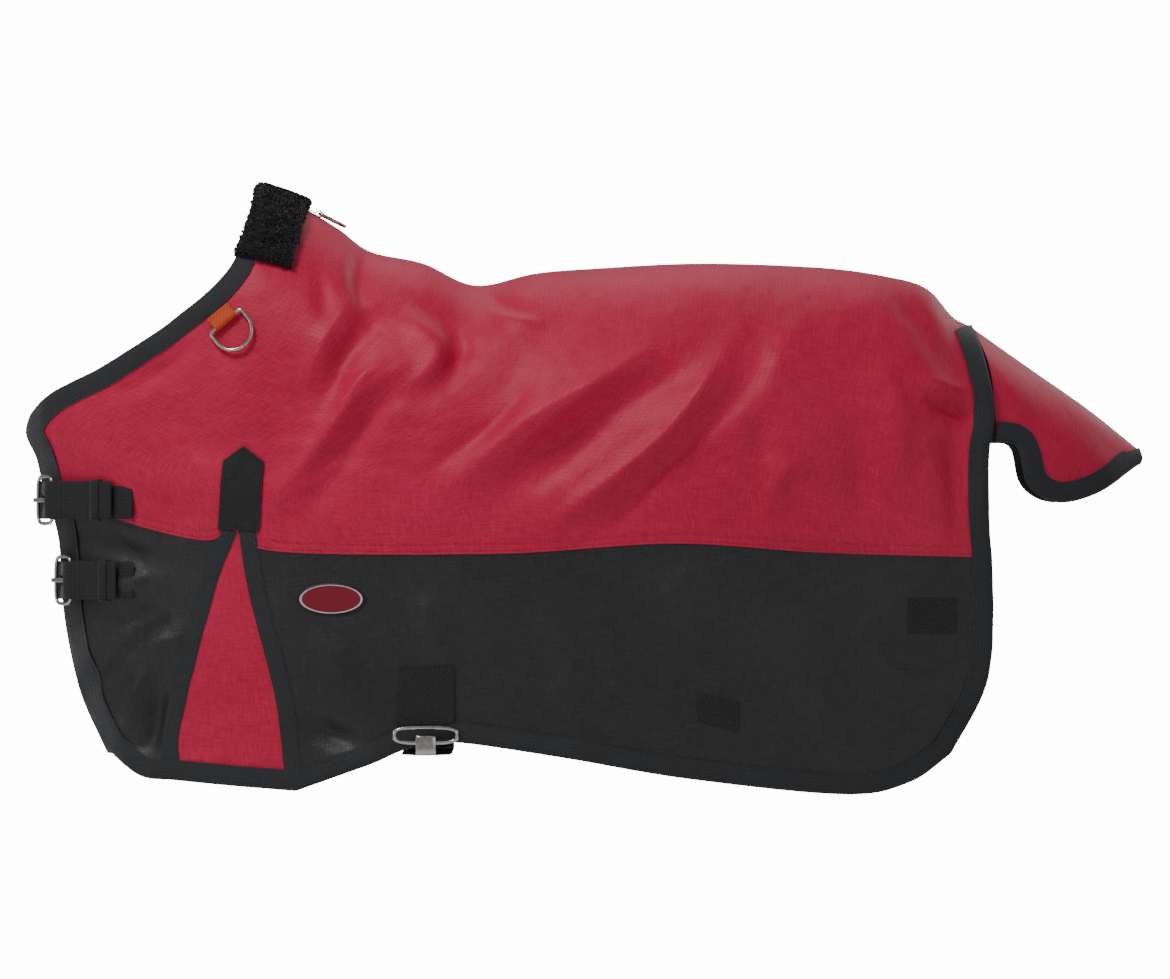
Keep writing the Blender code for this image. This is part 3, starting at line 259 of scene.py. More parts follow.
# how far the cloth stands off its body, folds and crinkles together
def foldHeight(x, z, side):
    total = np.zeros_like(x)
    shift = 0.0 if side < 0 else drape["offShift"]
    parts = drape["parts"]
    for group in folds.values():
        for line, height, half in group:
            line = [(px / 1000 + shift, pz / 1000) for px, pz in line]
            height, half = height / 1000, half / 1000
            points = along(line, np.linspace(0, 1, parts + 1))
            nearest = np.full(x.shape, 1.0)
            taper = np.zeros_like(x)
            for k in range(parts):
                a, b = points[k], points[k + 1]
                step = b - a
                t = np.clip(((x - a[0]) * step[0] + (z - a[1]) * step[1]) / step.dot(step), 0, 1)
                gap = np.hypot(x - a[0] - step[0] * t, z - a[1] - step[1] * t)
                closer = gap < nearest
                nearest = np.where(closer, gap, nearest)
                taper = np.where(closer, np.sin(np.pi * np.clip((k + t) / parts * 0.9 + 0.05, 0, 1)), taper)
            fall = drape["ridge"] if height > 0 else drape["valley"]
            total += drape["gain"] * height * taper * np.exp(-(nearest / half) ** fall)
    seed = 3 if side < 0 else 11
    for k, (height, (ux, uz), (vz, vx)) in enumerate(drape["crinkles"]):
        total += height * latticeNoise(x * ux + z * uz, z * vz + x * vx, seed + k)
    for px, pz, radius in flatSpots:
        near = np.exp(-((x - px) ** 2 + (z - pz) ** 2) / radius ** 2)
        total = total * (1 - near) - drape["sunk"] * near
    return total


# points and outward normals of one side, without folds
def surfaceFrame(half, top, x, z, side):
    step, reach = 0.0012, 0.003
    y = half(x, z)
    dx = (half(x + step, z) - half(x - step, z)) / (2 * step)
    dz = (half(x, z + step) - half(x, z - step)) / (2 * step)
    slope = heightAt(top, x + reach) - heightAt(top, x - reach)
    slope = slope / (2 * reach)
    onCrest = y < 1e-5
    normal = np.stack([-dx, np.full_like(x, 1.0), -dz], axis=-1)
    crestNormal = np.stack([-slope, np.zeros_like(x), np.ones_like(x)], axis=-1)
    normal = np.where(onCrest[..., None], crestNormal, normal)
    normal = normal / np.linalg.norm(normal, axis=-1, keepdims=True)
    point = np.stack([x, y * side, z], axis=-1)
    normal[..., 1] *= side
    return point, normal


def standing(half, top, x, z, side, height):
    point, normal = surfaceFrame(half, top, x, z, side)
    fade = np.clip((heightAt(top, x) - z) / body["crestFade"], 0, 1)
    return point + normal * height(fade)[..., None], normal


def onBody(x, z, side, lift=0.0):
    x, z = np.asarray(x, float), np.asarray(z, float)
    return standing(bodyHalf, crestLine, x, z, side, lambda fade: foldHeight(x, z, side) * fade + lift)


def onFlap(x, z, side, lift=0.0):
    x, z = np.asarray(x, float), np.asarray(z, float)
    wave = flapForm["wave"] * latticeNoise(x * 26 + z * 30, z * 14 - x * 20, 5)
    return standing(flapHalf, flapCrest, x, z, side, lambda fade: wave * fade + lift)


# grid of points between four edges
def coons(top, bottom, left, right, us, vs):
    u, v = us[:, None, None], vs[None, :, None]
    corner = ((1 - u) * (1 - v) * top[0] + u * (1 - v) * top[-1]
              + (1 - u) * v * bottom[0] + u * v * bottom[-1])
    return (1 - v) * top[:, None] + v * bottom[:, None] + (1 - u) * left[None] + u * right[None] - corner


def wholeMesh(name, verts, faces, uvs=None, sharp=55):
    mesh = bpy.data.meshes.new(name)
    corners = [tuple(int(v) for v in face) for face in faces]
    mesh.from_pydata(np.asarray(verts, float).tolist(), [], corners)
    mesh.shade_smooth()
    mesh.set_sharp_from_angle(angle=math.radians(sharp))
    if uvs is not None:
        index = np.empty(len(mesh.loops), int)
        mesh.loops.foreach_get("vertex_index", index)
        mesh.uv_layers.new(name="cloth").data.foreach_set("uv", np.asarray(uvs, float)[index].ravel())
    obj = bpy.data.objects.new(name, mesh)
    bpy.context.collection.objects.link(obj)
    return obj


def gridFaces(columns, rows, start=0, flip=False):
    i, j = np.meshgrid(np.arange(columns - 1), np.arange(rows - 1), indexing="ij")
    a = (i * rows + j).ravel() + start
    quads = np.stack([a, a + 1, a + rows + 1, a + rows], axis=1)
    return quads[:, ::-1] if flip else quads


# indices round the edge of a grid, once
def rimOf(columns, rows):
    top = [i * rows for i in range(columns)]
    right = [(columns - 1) * rows + j for j in range(1, rows)]
    bottom = [i * rows + rows - 1 for i in range(columns - 2, -1, -1)]
    left = [j for j in range(rows - 2, 0, -1)]
    return np.array(top + right + bottom + left)


# lengths along the grid in metres: the cloth's own directions
def metricUv(points):
    down = np.linalg.norm(np.diff(points, axis=1), axis=2)
    v = np.concatenate([np.zeros((points.shape[0], 1)), np.cumsum(down, axis=1)], axis=1)
    middle = points.shape[1] // 2
    across = np.linalg.norm(np.diff(points[:, middle], axis=0), axis=1)
    u = np.concatenate([[0], np.cumsum(across)])
    u = np.repeat(u[:, None], points.shape[1], axis=1)
    return np.stack([u, v - v[:, middle:middle + 1]], axis=-1)


# closed sheet between two grids of points, mapped in metres along the outer one
def slab(name, outer, inner, normals, uv=None, sharp=55):
    columns, rows = outer.shape[:2]
    count = columns * rows
    middle = (columns // 2, rows // 2)
    edgeA = outer[middle[0], middle[1]] - outer[middle[0], middle[1] - 1]
    edgeB = outer[middle[0], middle[1]] - outer[middle[0] - 1, middle[1]]
    flip = np.dot(np.cross(edgeA, edgeB), normals[middle]) < 0
    rim = rimOf(columns, rows)
    after = np.roll(rim, -1)
    wall = np.stack([rim, after, after + count, rim + count], axis=1)
    faces = np.concatenate([gridFaces(columns, rows, 0, flip), gridFaces(columns, rows, count, not flip),
                            wall[:, ::-1] if flip else wall])
    verts = np.concatenate([outer.reshape(-1, 3), inner.reshape(-1, 3)])
    uv = metricUv(outer) if uv is None else uv
    return wholeMesh(name, verts, faces, np.concatenate([uv.reshape(-1, 2)] * 2), sharp)


def sheetArea(points):
    a, b = points[1:, :-1] - points[:-1, :-1], points[:-1, 1:] - points[:-1, :-1]
    return float(np.linalg.norm(np.cross(a, b), axis=2).sum())


# outlines joined end to end
def joined(*keys):
    lines = [spline(body[key]) for key in keys]
    return np.concatenate([line[:-1] for line in lines[:-1]] + lines[-1:])


seamLine = joined("frontSeam", "gussetTop", "rearSeam")
hemLine = joined("frontHem", "gussetHem", "rearHem")
frontEdge = joined("neck", "chest")
rearEdge = joined("rearUpper", "rearLower")


def byX(line, fractions):
    x = line[0, 0] + (line[-1, 0] - line[0, 0]) * fractions
    return np.stack([x, heightAt(line, x)], axis=-1)


# one grid over the crest, from the near hem to the off hem
def bothSides(grid, place, lift):
    near, nearNormal = place(grid[..., 0], grid[..., 1], -1, lift)
    off, offNormal = place(grid[..., 0], grid[..., 1], 1, lift)
    return (np.concatenate([near[:, ::-1], off[:, 1:]], axis=1),
            np.concatenate([nearNormal[:, ::-1], offNormal[:, 1:]], axis=1))


# the red upper: one sheet over both sides, with its lower edge lapped over the black panels
upper = {
    "columns": 270, "rows": 76, "thick": 0.0018, "crowd": 1.6,  # rows crowd towards the crest
    "lap": 0.0115, "lapEdge": 0.0025, "lapRise": 0.0009,
    "groove": 0.007, "grooveHalf": 0.0018, "grooveDepth": 0.0006, "lapEnd": 0.016,
}
us = np.linspace(0, 1, upper["columns"])
vs = np.linspace(0, 1, upper["rows"]) ** upper["crowd"]
upperGrid = coons(along(body["crest"], us), byX(seamLine, us), along(body["neck"], vs),
                  along(body["rearUpper"], vs), us, vs)
overSeam = upperGrid[..., 1] - heightAt(seamLine, upperGrid[..., 0])
lap = upper["lapRise"] * (1 - np.clip((overSeam - upper["lap"]) / upper["lapEdge"], 0, 1))
lap = lap - upper["grooveDepth"] * np.exp(-((overSeam - upper["groove"]) / upper["grooveHalf"]) ** 2)
lap = np.where(overSeam < upper["lapEnd"], lap, 0)
outer, normals = bothSides(upperGrid, onBody, lap)
upperSheet = slab("upperSheet", outer, outer - normals * upper["thick"], normals)
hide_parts("upper_shell")
upperArea = sheetArea(outer)
print("upper shell done, square metres:", round(upperArea, 3))

# the black lower panels and the red gussets, one piece a side:
# their top, bottom, left and right edge, columns and rows
lower = {
    "front_panel_": ("frontSeam", "frontHem", "chest", "gussetFront", 60, 70),
    "gusset_": ("gussetTop", "gussetHem", "gussetFront", "gussetRear", 34, 70),
    "rear_panel_": ("rearSeam", "rearHem", "gussetRear", "rearLower", 200, 66),
}
sides = (-1, "near"), (1, "off")
panels = []
for sign, side in sides:
    for name, (top, bottom, left, right, columns, rows) in lower.items():
        us, vs = np.linspace(0, 1, columns), np.linspace(0, 1, rows)
        grid = coons(along(body[top], us), along(body[bottom], us), along(body[left], vs),
                     along(body[right], vs), us, vs)
        outer, normals = onBody(grid[..., 0], grid[..., 1], sign)
        inner = outer - normals * upper["thick"]
        piece = slab(name + side + "_sheet", outer, inner, normals)
        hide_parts(name + side)
        panels.append((piece, name, sheetArea(outer), np.ptp(outer.reshape(-1, 3), axis=0)))
print("lower panels done:", len(panels))

# the lining, one sheet inside everything, which also stands for the hidden wadding
lining = {"columns": 200, "rows": 96, "thick": 0.0012, "crowd": 1.35}
us = np.linspace(0, 1, lining["columns"])
vs = np.linspace(0, 1, lining["rows"]) ** lining["crowd"]
liningGrid = coons(along(body["crest"], us), byX(hemLine, us), share(frontEdge, vs),
                   share(rearEdge, vs), us, vs)
outer, normals = bothSides(liningGrid, onBody, -body["stack"] + lining["thick"])
liningSheet = slab("liningSheet", outer, outer - normals * lining["thick"], normals)
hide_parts("lining", "filling")
liningArea = sheetArea(outer)
print("lining done, square metres:", round(liningArea, 3))


def outward(obj):
    work = bmesh.new()
    work.from_mesh(obj.data)
    bmesh.ops.recalc_face_normals(work, faces=work.faces)
    work.to_mesh(obj.data)
    work.free()


# closed bar from a row of closed sections
def ringSweep(name, sections, uvs, sharp=70):
    n, m = sections.shape[:2]
    faces = [(i * m + k, i * m + (k + 1) % m, (i + 1) * m + (k + 1) % m, (i + 1) * m + k)
             for i in range(n - 1) for k in range(m)]
    faces += [tuple(range(m)), tuple((n - 1) * m + k for k in range(m))[::-1]]
    obj = wholeMesh(name, sections.reshape(-1, 3), faces, uvs.reshape(-1, 2))
    outward(obj)
    obj.data.set_sharp_from_angle(angle=math.radians(sharp))
    return obj


def evenly(line, pitch):
    run = lengths(line)
    return share(line, np.linspace(0, 1, max(int(run[-1] / pitch), 2) + 1))


# directions across a line, towards a centre
def inwardOf(line, centre):
    step = np.gradient(line, axis=0)
    for _ in range(3):
        step[1:-1] = (step[:-2] + 2 * step[1:-1] + step[2:]) / 4
    across = np.stack([-step[:, 1], step[:, 0]], axis=-1)
    across /= np.linalg.norm(across, axis=1, keepdims=True)
    towards = np.array(centre) - line
    return across * np.sign((across * towards).sum(1, keepdims=True))


thread = {"pitch": 0.0036, "half": 0.0013, "thick": 0.00042, "rowSteps": 20}
threads = {}


# short raised threads along a line in space
def stitchRow(points, normals, colour="black", owner="rug"):
    run = lengths(points)
    count = int(run[-1] / thread["pitch"])
    if count < 1:
        return
    spots = (np.arange(count) + 0.5) * run[-1] / count
    place, out = pick(points, run, spots), pick(normals, run, spots)
    step = pick(points, run, spots + 1e-4) - pick(points, run, spots - 1e-4)
    step /= np.linalg.norm(step, axis=1, keepdims=True)
    across = np.cross(out, step)
    half, thick = thread["half"], thread["thick"]
    corners = [place - step * half - out * thick * 0.4, place + step * half - out * thick * 0.4,
               place + across * thick, place + out * thick * 1.2, place - across * thick,
               place - out * thick]
    store = threads.setdefault((colour, owner), [[], []])
    start = sum(len(block) for block in store[0])
    store[0].append(np.stack(corners, axis=1).reshape(-1, 3))
    base = (np.arange(count) * 6 + start)[:, None]
    for a, b, c in ((0, 3, 2), (0, 4, 3), (0, 5, 4), (0, 2, 5),
                    (1, 2, 3), (1, 3, 4), (1, 4, 5), (1, 5, 2)):
        store[1].append(base + np.array([a, b, c]))


def seamStitches(line, sign, lift, colour="black"):
    points, normals = onBody(line[:, 0], line[:, 1], sign, lift)
    stitchRow(points, normals, colour)


tape = {"width": 0.018, "pitch": 0.0035, "roll": 0.0024, "stitchIn": 0.0026, "stitchLift": 0.0016,
        "pucker": 0.00022, "puckerLength": 0.0075, "lumps": 0.0003, "waver": 0.0005}


# binding tape folded round an edge of the cloth, with its stitching
def folded(name, line, centre, sign, place, stack, owner="rug"):
    width, roll = tape["width"], tape["roll"]
    line = evenly(line, tape["pitch"])
    inward = inwardOf(line, centre)
    profile = [(width, 0.0004), (width, 0.0013), (width * 0.86, 0.0015), (width * 0.6, 0.0021),
               (width * 0.3, 0.0023), (0.0012, 0.0021), (-roll * 0.6, 0.0011), (-roll, -0.0012),
               (-roll, -stack + 0.0012), (-roll * 0.6, -stack - 0.0011), (0.0012, -stack - 0.0021),
               (width * 0.5, -stack - 0.0022), (width * 0.86, -stack - 0.0015), (width, -stack - 0.0013),
               (width, -stack - 0.0004), (0.001, -stack - 0.0005), (-0.0008, -stack / 2), (0.001, 0.0005)]
    run = lengths(line)
    pucker = tape["pucker"] * np.sin(run * 2 * math.pi / tape["puckerLength"])
    pucker = pucker + tape["lumps"] * latticeNoise(run * 60, run * 0, 9)
    waver = tape["waver"] * latticeNoise(run * 45, run * 0 + 0.5, 21 if sign < 0 else 27)
    sections, uvs, reach = [], [], 0.0
    for k, (w, h) in enumerate(profile):
        spot = line + inward * (w + (waver * (w / width) if w > 0 else 0 * waver))[:, None]
        lift = h + pucker * (1 if h > 0 else -1) * (0.2 if w < 0.004 else 1)
        point, _ = place(spot[:, 0], spot[:, 1], sign, lift)
        sections.append(point)
        if k:
            reach += math.hypot(w - profile[k - 1][0], h - profile[k - 1][1])
        uvs.append(np.stack([run, np.full_like(run, reach)], axis=-1))
    obj = ringSweep(name, np.stack(sections, axis=1), np.stack(uvs, axis=1))
    spot = line + inward * (width - tape["stitchIn"])
    for h in (tape["stitchLift"], -stack - tape["stitchLift"]):
        points, normals = place(spot[:, 0], spot[:, 1], sign, h)
        stitchRow(points, normals * (1 if h > 0 else -1), "black", owner)
    return obj


bindings = []
middle = (0.03, -0.22)  # the bindings fold in towards these points
chestMiddle = (-0.1, -0.16)
rearBound = np.concatenate([rearEdge[:-1], spline(body["rearHem"])[::-1]])
frontBound = joined("neck", "chest", "frontHem")
for sign, side in sides:
    for node, line, centre in (("front_binding_", frontBound, chestMiddle),
                               ("gusset_binding_", spline(body["gussetHem"]), middle),
                               ("rear_binding_", rearBound, middle)):
        obj = folded(node + side + "_tape", line, centre, sign, onBody, body["stack"])
        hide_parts(node + side)
        bindings.append(obj)

# double stitching above the colour seam, and one black row below it
seamSewing = {"rises": (0.0035, 0.0105), "redLift": 0.0011, "blackDrop": 0.004, "blackLift": 0.0003,
              "step": 0.004}
for sign in (-1, 1):
    seams = spline(body["frontSeam"]), spline(body["rearSeam"])
    for line in seams:
        for rise in seamSewing["rises"]:
            red = evenly(line + (0, rise), seamSewing["step"])
            seamStitches(red, sign, seamSewing["redLift"], "red")
    for line in seams:
        black = evenly(line - (0, seamSewing["blackDrop"]), seamSewing["step"])
        seamStitches(black, sign, seamSewing["blackLift"])

# tapes over the gusset's seams
gussetTape = {"width": 0.017, "columns": 9, "pitch": 0.0035, "end": 0.965, "thick": 0.0012,
              "thinner": 0.0005, "lumps": 0.0002, "under": 0.0001, "behind": (0.4, -0.35)}
for sign, side in sides:
    for node, key in (("gusset_front_tape_", "gussetFront"), ("gusset_rear_tape_", "gussetRear")):
        columns = gussetTape["columns"]
        line = share(spline(body[key]), np.linspace(0, gussetTape["end"], 60))
        line = evenly(line, gussetTape["pitch"])
        inward = inwardOf(line, gussetTape["behind"])
        widths = np.linspace(-0.5, 0.5, columns) * gussetTape["width"]
        x, z = np.moveaxis(line[:, None] + inward[:, None] * widths[None, :, None], -1, 0)
        crown = gussetTape["thick"] - gussetTape["thinner"] * (np.abs(widths) / widths.max())[None, :] ** 3
        lift = crown + gussetTape["lumps"] * latticeNoise(x * 220, z * 220, 13)
        top, normals = onBody(x, z, sign, lift)
        under, _ = onBody(x, z, sign, gussetTape["under"])
        uv = np.stack(np.meshgrid(lengths(line), widths, indexing="ij"), axis=-1)
        obj = slab(node + side + "_tape", top, under, normals, uv)
        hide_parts(node + side)
        bindings.append(obj)
        for k in (1, columns - 2):
            stitchRow(top[:, k], normals[:, k])
print("bindings and tapes done:", len(bindings))

# the tail flap
flapUs = np.linspace(0, 1, flapForm["columns"])
flapVs = np.linspace(0, 1, flapForm["rows"]) ** flapForm["crowd"]
flapGrid = coons(along(flapForm["crest"], flapUs), along(flapForm["hem"], flapUs),
                 along(flapForm["seam"], flapVs), along(flapForm["tip"], flapVs), flapUs, flapVs)
outer, normals = bothSides(flapGrid, onFlap, 0.0)
flapSheet = slab("flapSheet", outer, outer - normals * flapForm["thick"], normals)
flapArea = sheetArea(outer)
inner = outer - normals * flapForm["liningFrom"]
flapLining = slab("flapLiningSheet", inner, outer - normals * flapForm["stack"], normals, metricUv(outer))
flapBound = np.concatenate([spline(flapForm["hem"])[:-1], spline(flapForm["tip"])[::-1]])
flapTapes = [folded("flapTape_" + side, flapBound, flapForm["middle"], sign, onFlap,
                    flapForm["stack"], "tail_flap")
             for sign, side in sides]
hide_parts("tail_flap_shell")
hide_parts("tail_flap_lining")
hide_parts("tail_flap_binding")


# flat shape sewn on the folded cloth, from a grid of (x, z)
def sewnShape(node, grid, sign, lift, thick):
    top, normals = onBody(grid[..., 0], grid[..., 1], sign, lift + thick)
    under, _ = onBody(grid[..., 0], grid[..., 1], sign, lift)
    obj = slab(node + "_web", top, under, normals, grid)
    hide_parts(node)
    webShapes.append(obj)
    return top, normals


def quadGrid(corners, columns, rows):
    a, b, c, d = (np.array(p) for p in corners)
    u, v = np.linspace(0, 1, columns)[:, None, None], np.linspace(0, 1, rows)[None, :, None]
    return (1 - v) * ((1 - u) * a + u * b) + v * ((1 - u) * d + u * c)


# a box of stitches with a cross in it
def boxStitches(corners, sign, lift, inset=0.12):
    a, b, c, d = (np.array(p) for p in corners)
    centre = (a + b + c + d) / 4
    a, b, c, d = (p + (centre - p) * inset for p in (a, b, c, d))
    for p, q in ((a, b), (b, c), (c, d), (d, a), (a, c), (b, d)):
        seamStitches(np.linspace(p, q, thread["rowSteps"]), sign, lift)


patches = {
    "belly_patch_": [(-0.074, -0.374), (-0.02, -0.371), (-0.019, -0.428), (-0.076, -0.43)],
    "leg_front_patch_": [(0.221, -0.398), (0.263, -0.407), (0.262, -0.436), (0.222, -0.425)],
    "leg_rear_patch_": [(0.43, -0.304), (0.478, -0.304), (0.478, -0.338), (0.43, -0.338)],
}
patchLook = {"belly": 0.0019, "leg": 0.001, "lift": 0.0001, "stitchLift": 0.0002, "cells": 26}
pointPatch = {
    "corners": [(-0.228, -0.153), (-0.249, -0.168), (-0.2535, -0.236), (-0.213, -0.238), (-0.208, -0.169)],
    "columns": 29, "rows": 40, "lift": 0.0009, "thick": 0.0014, "stitchLift": 0.0025, "inset": 0.14,
    "bars": (11, 14),  # rows of the grid with a line of stitches across
}
webShapes = []
for sign, side in sides:
    for node, corners in patches.items():
        thick = patchLook[node.split("_")[0]]
        grid = quadGrid(corners, patchLook["cells"], patchLook["cells"])
        sewnShape(node + side, grid, sign, patchLook["lift"], thick)
        boxStitches(corners, sign, thick + patchLook["stitchLift"])
    peak, left, leftLow, rightLow, right = (np.array(p) for p in pointPatch["corners"])
    u = np.linspace(0, 1, pointPatch["columns"])[:, None]
    head = (1 - u) * left + u * right + np.array([0, 1.0]) * (peak[1] - left[1]) * (1 - np.abs(2 * u - 1))
    foot = (1 - u) * leftLow + u * rightLow
    v = np.linspace(0, 1, pointPatch["rows"])[None, :, None]
    grid = (1 - v) * head[:, None] + v * foot[:, None]
    top, normals = sewnShape("gusset_point_patch_" + side, grid, sign,
                             pointPatch["lift"], pointPatch["thick"])
    border = np.array([peak, left, leftLow, rightLow, right, peak])
    centre = border[:-1].mean(0)
    border = border + (centre - border) * pointPatch["inset"]
    for p, q in zip(border[:-1], border[1:]):
        seamStitches(np.linspace(p, q, thread["rowSteps"]), sign, pointPatch["stitchLift"])
    for row in pointPatch["bars"]:
        stitchRow(top[2:-2, row], normals[2:-2, row])

# plain oval patch on the near side: raised rim round a smooth field
oval = {"centre": (-0.141, -0.305), "half": (0.034, 0.0155), "cells": (49, 33), "thick": 0.0012,
        "rimAt": 0.93, "rimHalf": 0.055, "rimLift": 0.0007, "under": 0.0001}
u, v = np.meshgrid(*[np.linspace(-1, 1, cells) for cells in oval["cells"]], indexing="ij")
disc = np.stack([u * np.sqrt(1 - v * v / 2), v * np.sqrt(1 - u * u / 2)], axis=-1)  # square to round
reach = np.hypot(disc[..., 0], disc[..., 1])
grid = disc * np.array(oval["half"]) + np.array(oval["centre"])
rimLift = oval["rimLift"] * np.exp(-((reach - oval["rimAt"]) / oval["rimHalf"]) ** 2)
top, normals = onBody(grid[..., 0], grid[..., 1], -1, oval["thick"] + rimLift)
under, _ = onBody(grid[..., 0], grid[..., 1], -1, oval["under"])
label = slab("labelPatch", top, under, normals, disc)
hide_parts("label_patch")
print("patches done:", len(webShapes) + 1)

# fleece over the crest of the neck: a lumpy pad with short curls standing on it
fleece = {
    "crest": [(-0.2165, 0.1), (-0.193, 0.0915), (-0.169, 0.083)],
    "neck": [(-0.2165, 0.1), (-0.2235, 0.068), (-0.235, 0.034)],
    "rear": [(-0.169, 0.083), (-0.174, 0.052), (-0.1815, 0.021)],
    "low": [(-0.235, 0.034), (-0.208, 0.0285), (-0.1815, 0.021)],
    "columns": 44, "rows": 60, "crowd": 1.5, "roundEnds": 0.12, "roundHem": 0.1,
    "thick": 0.0085, "lumps": 0.0019, "from": 0.0028, "under": 0.0024, "overNeck": 0.0035,
    "lumpSizes": (120, 420), "flatCrest": 0.04,
}
curl = {"count": 3400, "length": 0.0075, "girth": 0.0011, "rooted": 0.0012, "turns": 4.2,
        "rise": 0.52, "lean": 0.42, "coil": 0.2, "taper": 0.75, "seed": 5}
us = np.linspace(0, 1, fleece["columns"])
vs = np.linspace(0, 1, fleece["rows"]) ** fleece["crowd"]
padGrid = coons(along(fleece["crest"], us), along(fleece["low"], us), along(fleece["neck"], vs),
                along(fleece["rear"], vs), us, vs)
ends = np.clip(np.minimum(us, 1 - us)[:, None] / fleece["roundEnds"], 0, 1)
rounded = quarterRound(np.minimum(ends, np.clip((1 - vs)[None, :] / fleece["roundHem"], 0, 1)), 1)
layers = []
for sign in (-1, 1):
    x, z = padGrid[..., 0], padGrid[..., 1]
    coarse, fineness = fleece["lumpSizes"]
    lumps = latticeNoise(x * coarse + 3, z * coarse, 31 + sign)
    lumps += 0.7 * latticeNoise(x * fineness, z * fineness + 5, 41 + sign)
    lumps = lumps * np.clip(vs / fleece["flatCrest"], 0, 1)[None, :]
    spread = padGrid - np.array([fleece["overNeck"], 0]) * (1 - us)[:, None, None] ** 4
    lift = fleece["from"] + (fleece["thick"] + fleece["lumps"] * lumps) * rounded
    top, out = onBody(spread[..., 0], spread[..., 1], sign, lift)
    under, _ = onBody(spread[..., 0], spread[..., 1], sign, fleece["under"])
    layers.append((top, under, out))
top, under, out = (np.concatenate([near[:, ::-1], off[:, 1:]], axis=1) for near, off in zip(*layers))
fleecePad = slab("fleecePad", top, under, out, sharp=80)
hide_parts("withers_fleece")

# each curl is a tapered three-sided tube of five rings
rng = np.random.default_rng(curl["seed"])
count = curl["count"]
ci = rng.uniform(0, top.shape[0] - 1.001, count)
weight = np.linalg.norm(np.diff(top[top.shape[0] // 2], axis=0), axis=1)
steps = np.concatenate([[0], np.cumsum(weight)])
cj = np.interp(rng.uniform(0, steps[-1], count), steps, np.arange(len(steps))).clip(0, top.shape[1] - 1.001)
i0, j0 = ci.astype(int), cj.astype(int)
root = (top[i0, j0] + (top[i0 + 1, j0] - top[i0, j0]) * (ci - i0)[:, None]
        + (top[i0, j0 + 1] - top[i0, j0]) * (cj - j0)[:, None])
upward = out[i0, j0]
lean = rng.normal(size=(count, 3))
lean -= upward * (lean * upward).sum(1, keepdims=True)
lean /= np.linalg.norm(lean, axis=1, keepdims=True)
cross = np.cross(upward, lean)
size = curl["length"] * rng.uniform(0.5, 1.0, count)[:, None]
rings = []
for t in np.linspace(0, 1, 5):
    turn = t * curl["turns"] + rng.uniform(0, 0.4)
    coil = curl["coil"] * (cross * math.sin(turn) + lean * (math.cos(turn) - 1) * 0.5)
    bow = upward * (curl["rise"] * math.sin(t * 2.0)) + lean * curl["lean"] * t
    spine = root - upward * curl["rooted"] + size * (bow + coil)
    girth = curl["girth"] * (1 - curl["taper"] * t ** 2)
    for s in range(3):
        angle = 2 * math.pi * s / 3 + t
        rings.append(spine + girth * (cross * math.cos(angle)
                                      + (upward * 0.5 + lean * 0.5) * math.sin(angle)))
curls = np.stack(rings, axis=1)
faces = []
for ring in range(4):
    for s in range(3):
        a, b = ring * 3 + s, ring * 3 + (s + 1) % 3
        faces.append([a, b, b + 3, a + 3])
faces = (np.arange(count)[:, None, None] * 15 + np.array(faces)[None]).reshape(-1, 4)
tips = (np.arange(count)[:, None] * 15 + np.array([12, 13, 14])[None])
fleeceCurls = wholeMesh("fleeceCurls", curls.reshape(-1, 3), list(faces) + list(tips), None, 180)
print("fleece done, curls:", count)

# hardware and webbing: the fixed shapes, merged and made smooth
bodyOf = {node: name for name, nodes in frame["record"]["behaviour"]["bodies"].items() for node in nodes}
refine = {"weld": 2e-5, "flatFaces": 25, "flatShapes": 75, "creaseAbove": 50, "crease": 0.9, "levels": 2}


def refined(node):
    mesh = frame["nodes"][node].data.copy()
    mesh.materials.clear()
    work = bmesh.new()
    work.from_mesh(mesh)
    bmesh.ops.remove_doubles(work, verts=work.verts, dist=refine["weld"])
    bmesh.ops.join_triangles(work, faces=work.faces, angle_face_threshold=math.radians(refine["flatFaces"]),
                             angle_shape_threshold=math.radians(refine["flatShapes"]))
    layer = work.edges.layers.float.get("crease_edge") or work.edges.layers.float.new("crease_edge")
    for one in work.edges:
        if len(one.link_faces) == 2 and math.degrees(one.calc_face_angle(0)) > refine["creaseAbove"]:
            one[layer] = refine["crease"]
    work.to_mesh(mesh)
    work.free()
    obj = bpy.data.objects.new(node + "_fine", mesh)
    bpy.context.collection.objects.link(obj)
    bpy.context.view_layer.objects.active = obj
    bpy.ops.object.select_all(action="DESELECT")
    obj.select_set(True)
    smooth = obj.modifiers.new("smooth", "SUBSURF")
    smooth.levels = smooth.render_levels = refine["levels"]
    bpy.ops.object.modifier_apply(modifier="smooth")
    obj.data.shade_smooth()
    obj.data.set_sharp_from_angle(angle=math.radians(refine["creaseAbove"]))
    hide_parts(node)
    return obj


fineParts = {}
for node in sorted(frame["nodes"]):
    metalEnds = ("_ring", "_buckle", "_tongue", "belly_receiver", "belly_hook")
    if node.endswith(metalEnds) or any(part in node for part in ("_snap_", "_bolt_", "leg_ring")):
        fineParts[node] = "nickel"
    elif node.endswith("_tab"):
        fineParts[node] = "orange"
    elif node.endswith(("_buckle_strap", "_billet", "_keeper")):
        fineParts[node] = "chestWeb"
    elif node == "belly_strap":
        fineParts[node] = "bellyWeb"
    elif node.startswith("leg_strap"):
        fineParts[node] = "legWeb"
dRings = ("withers_ring", "neck_near_ring", "neck_off_ring")
fine = {node: refined(node) for node in fineParts if node not in dRings}


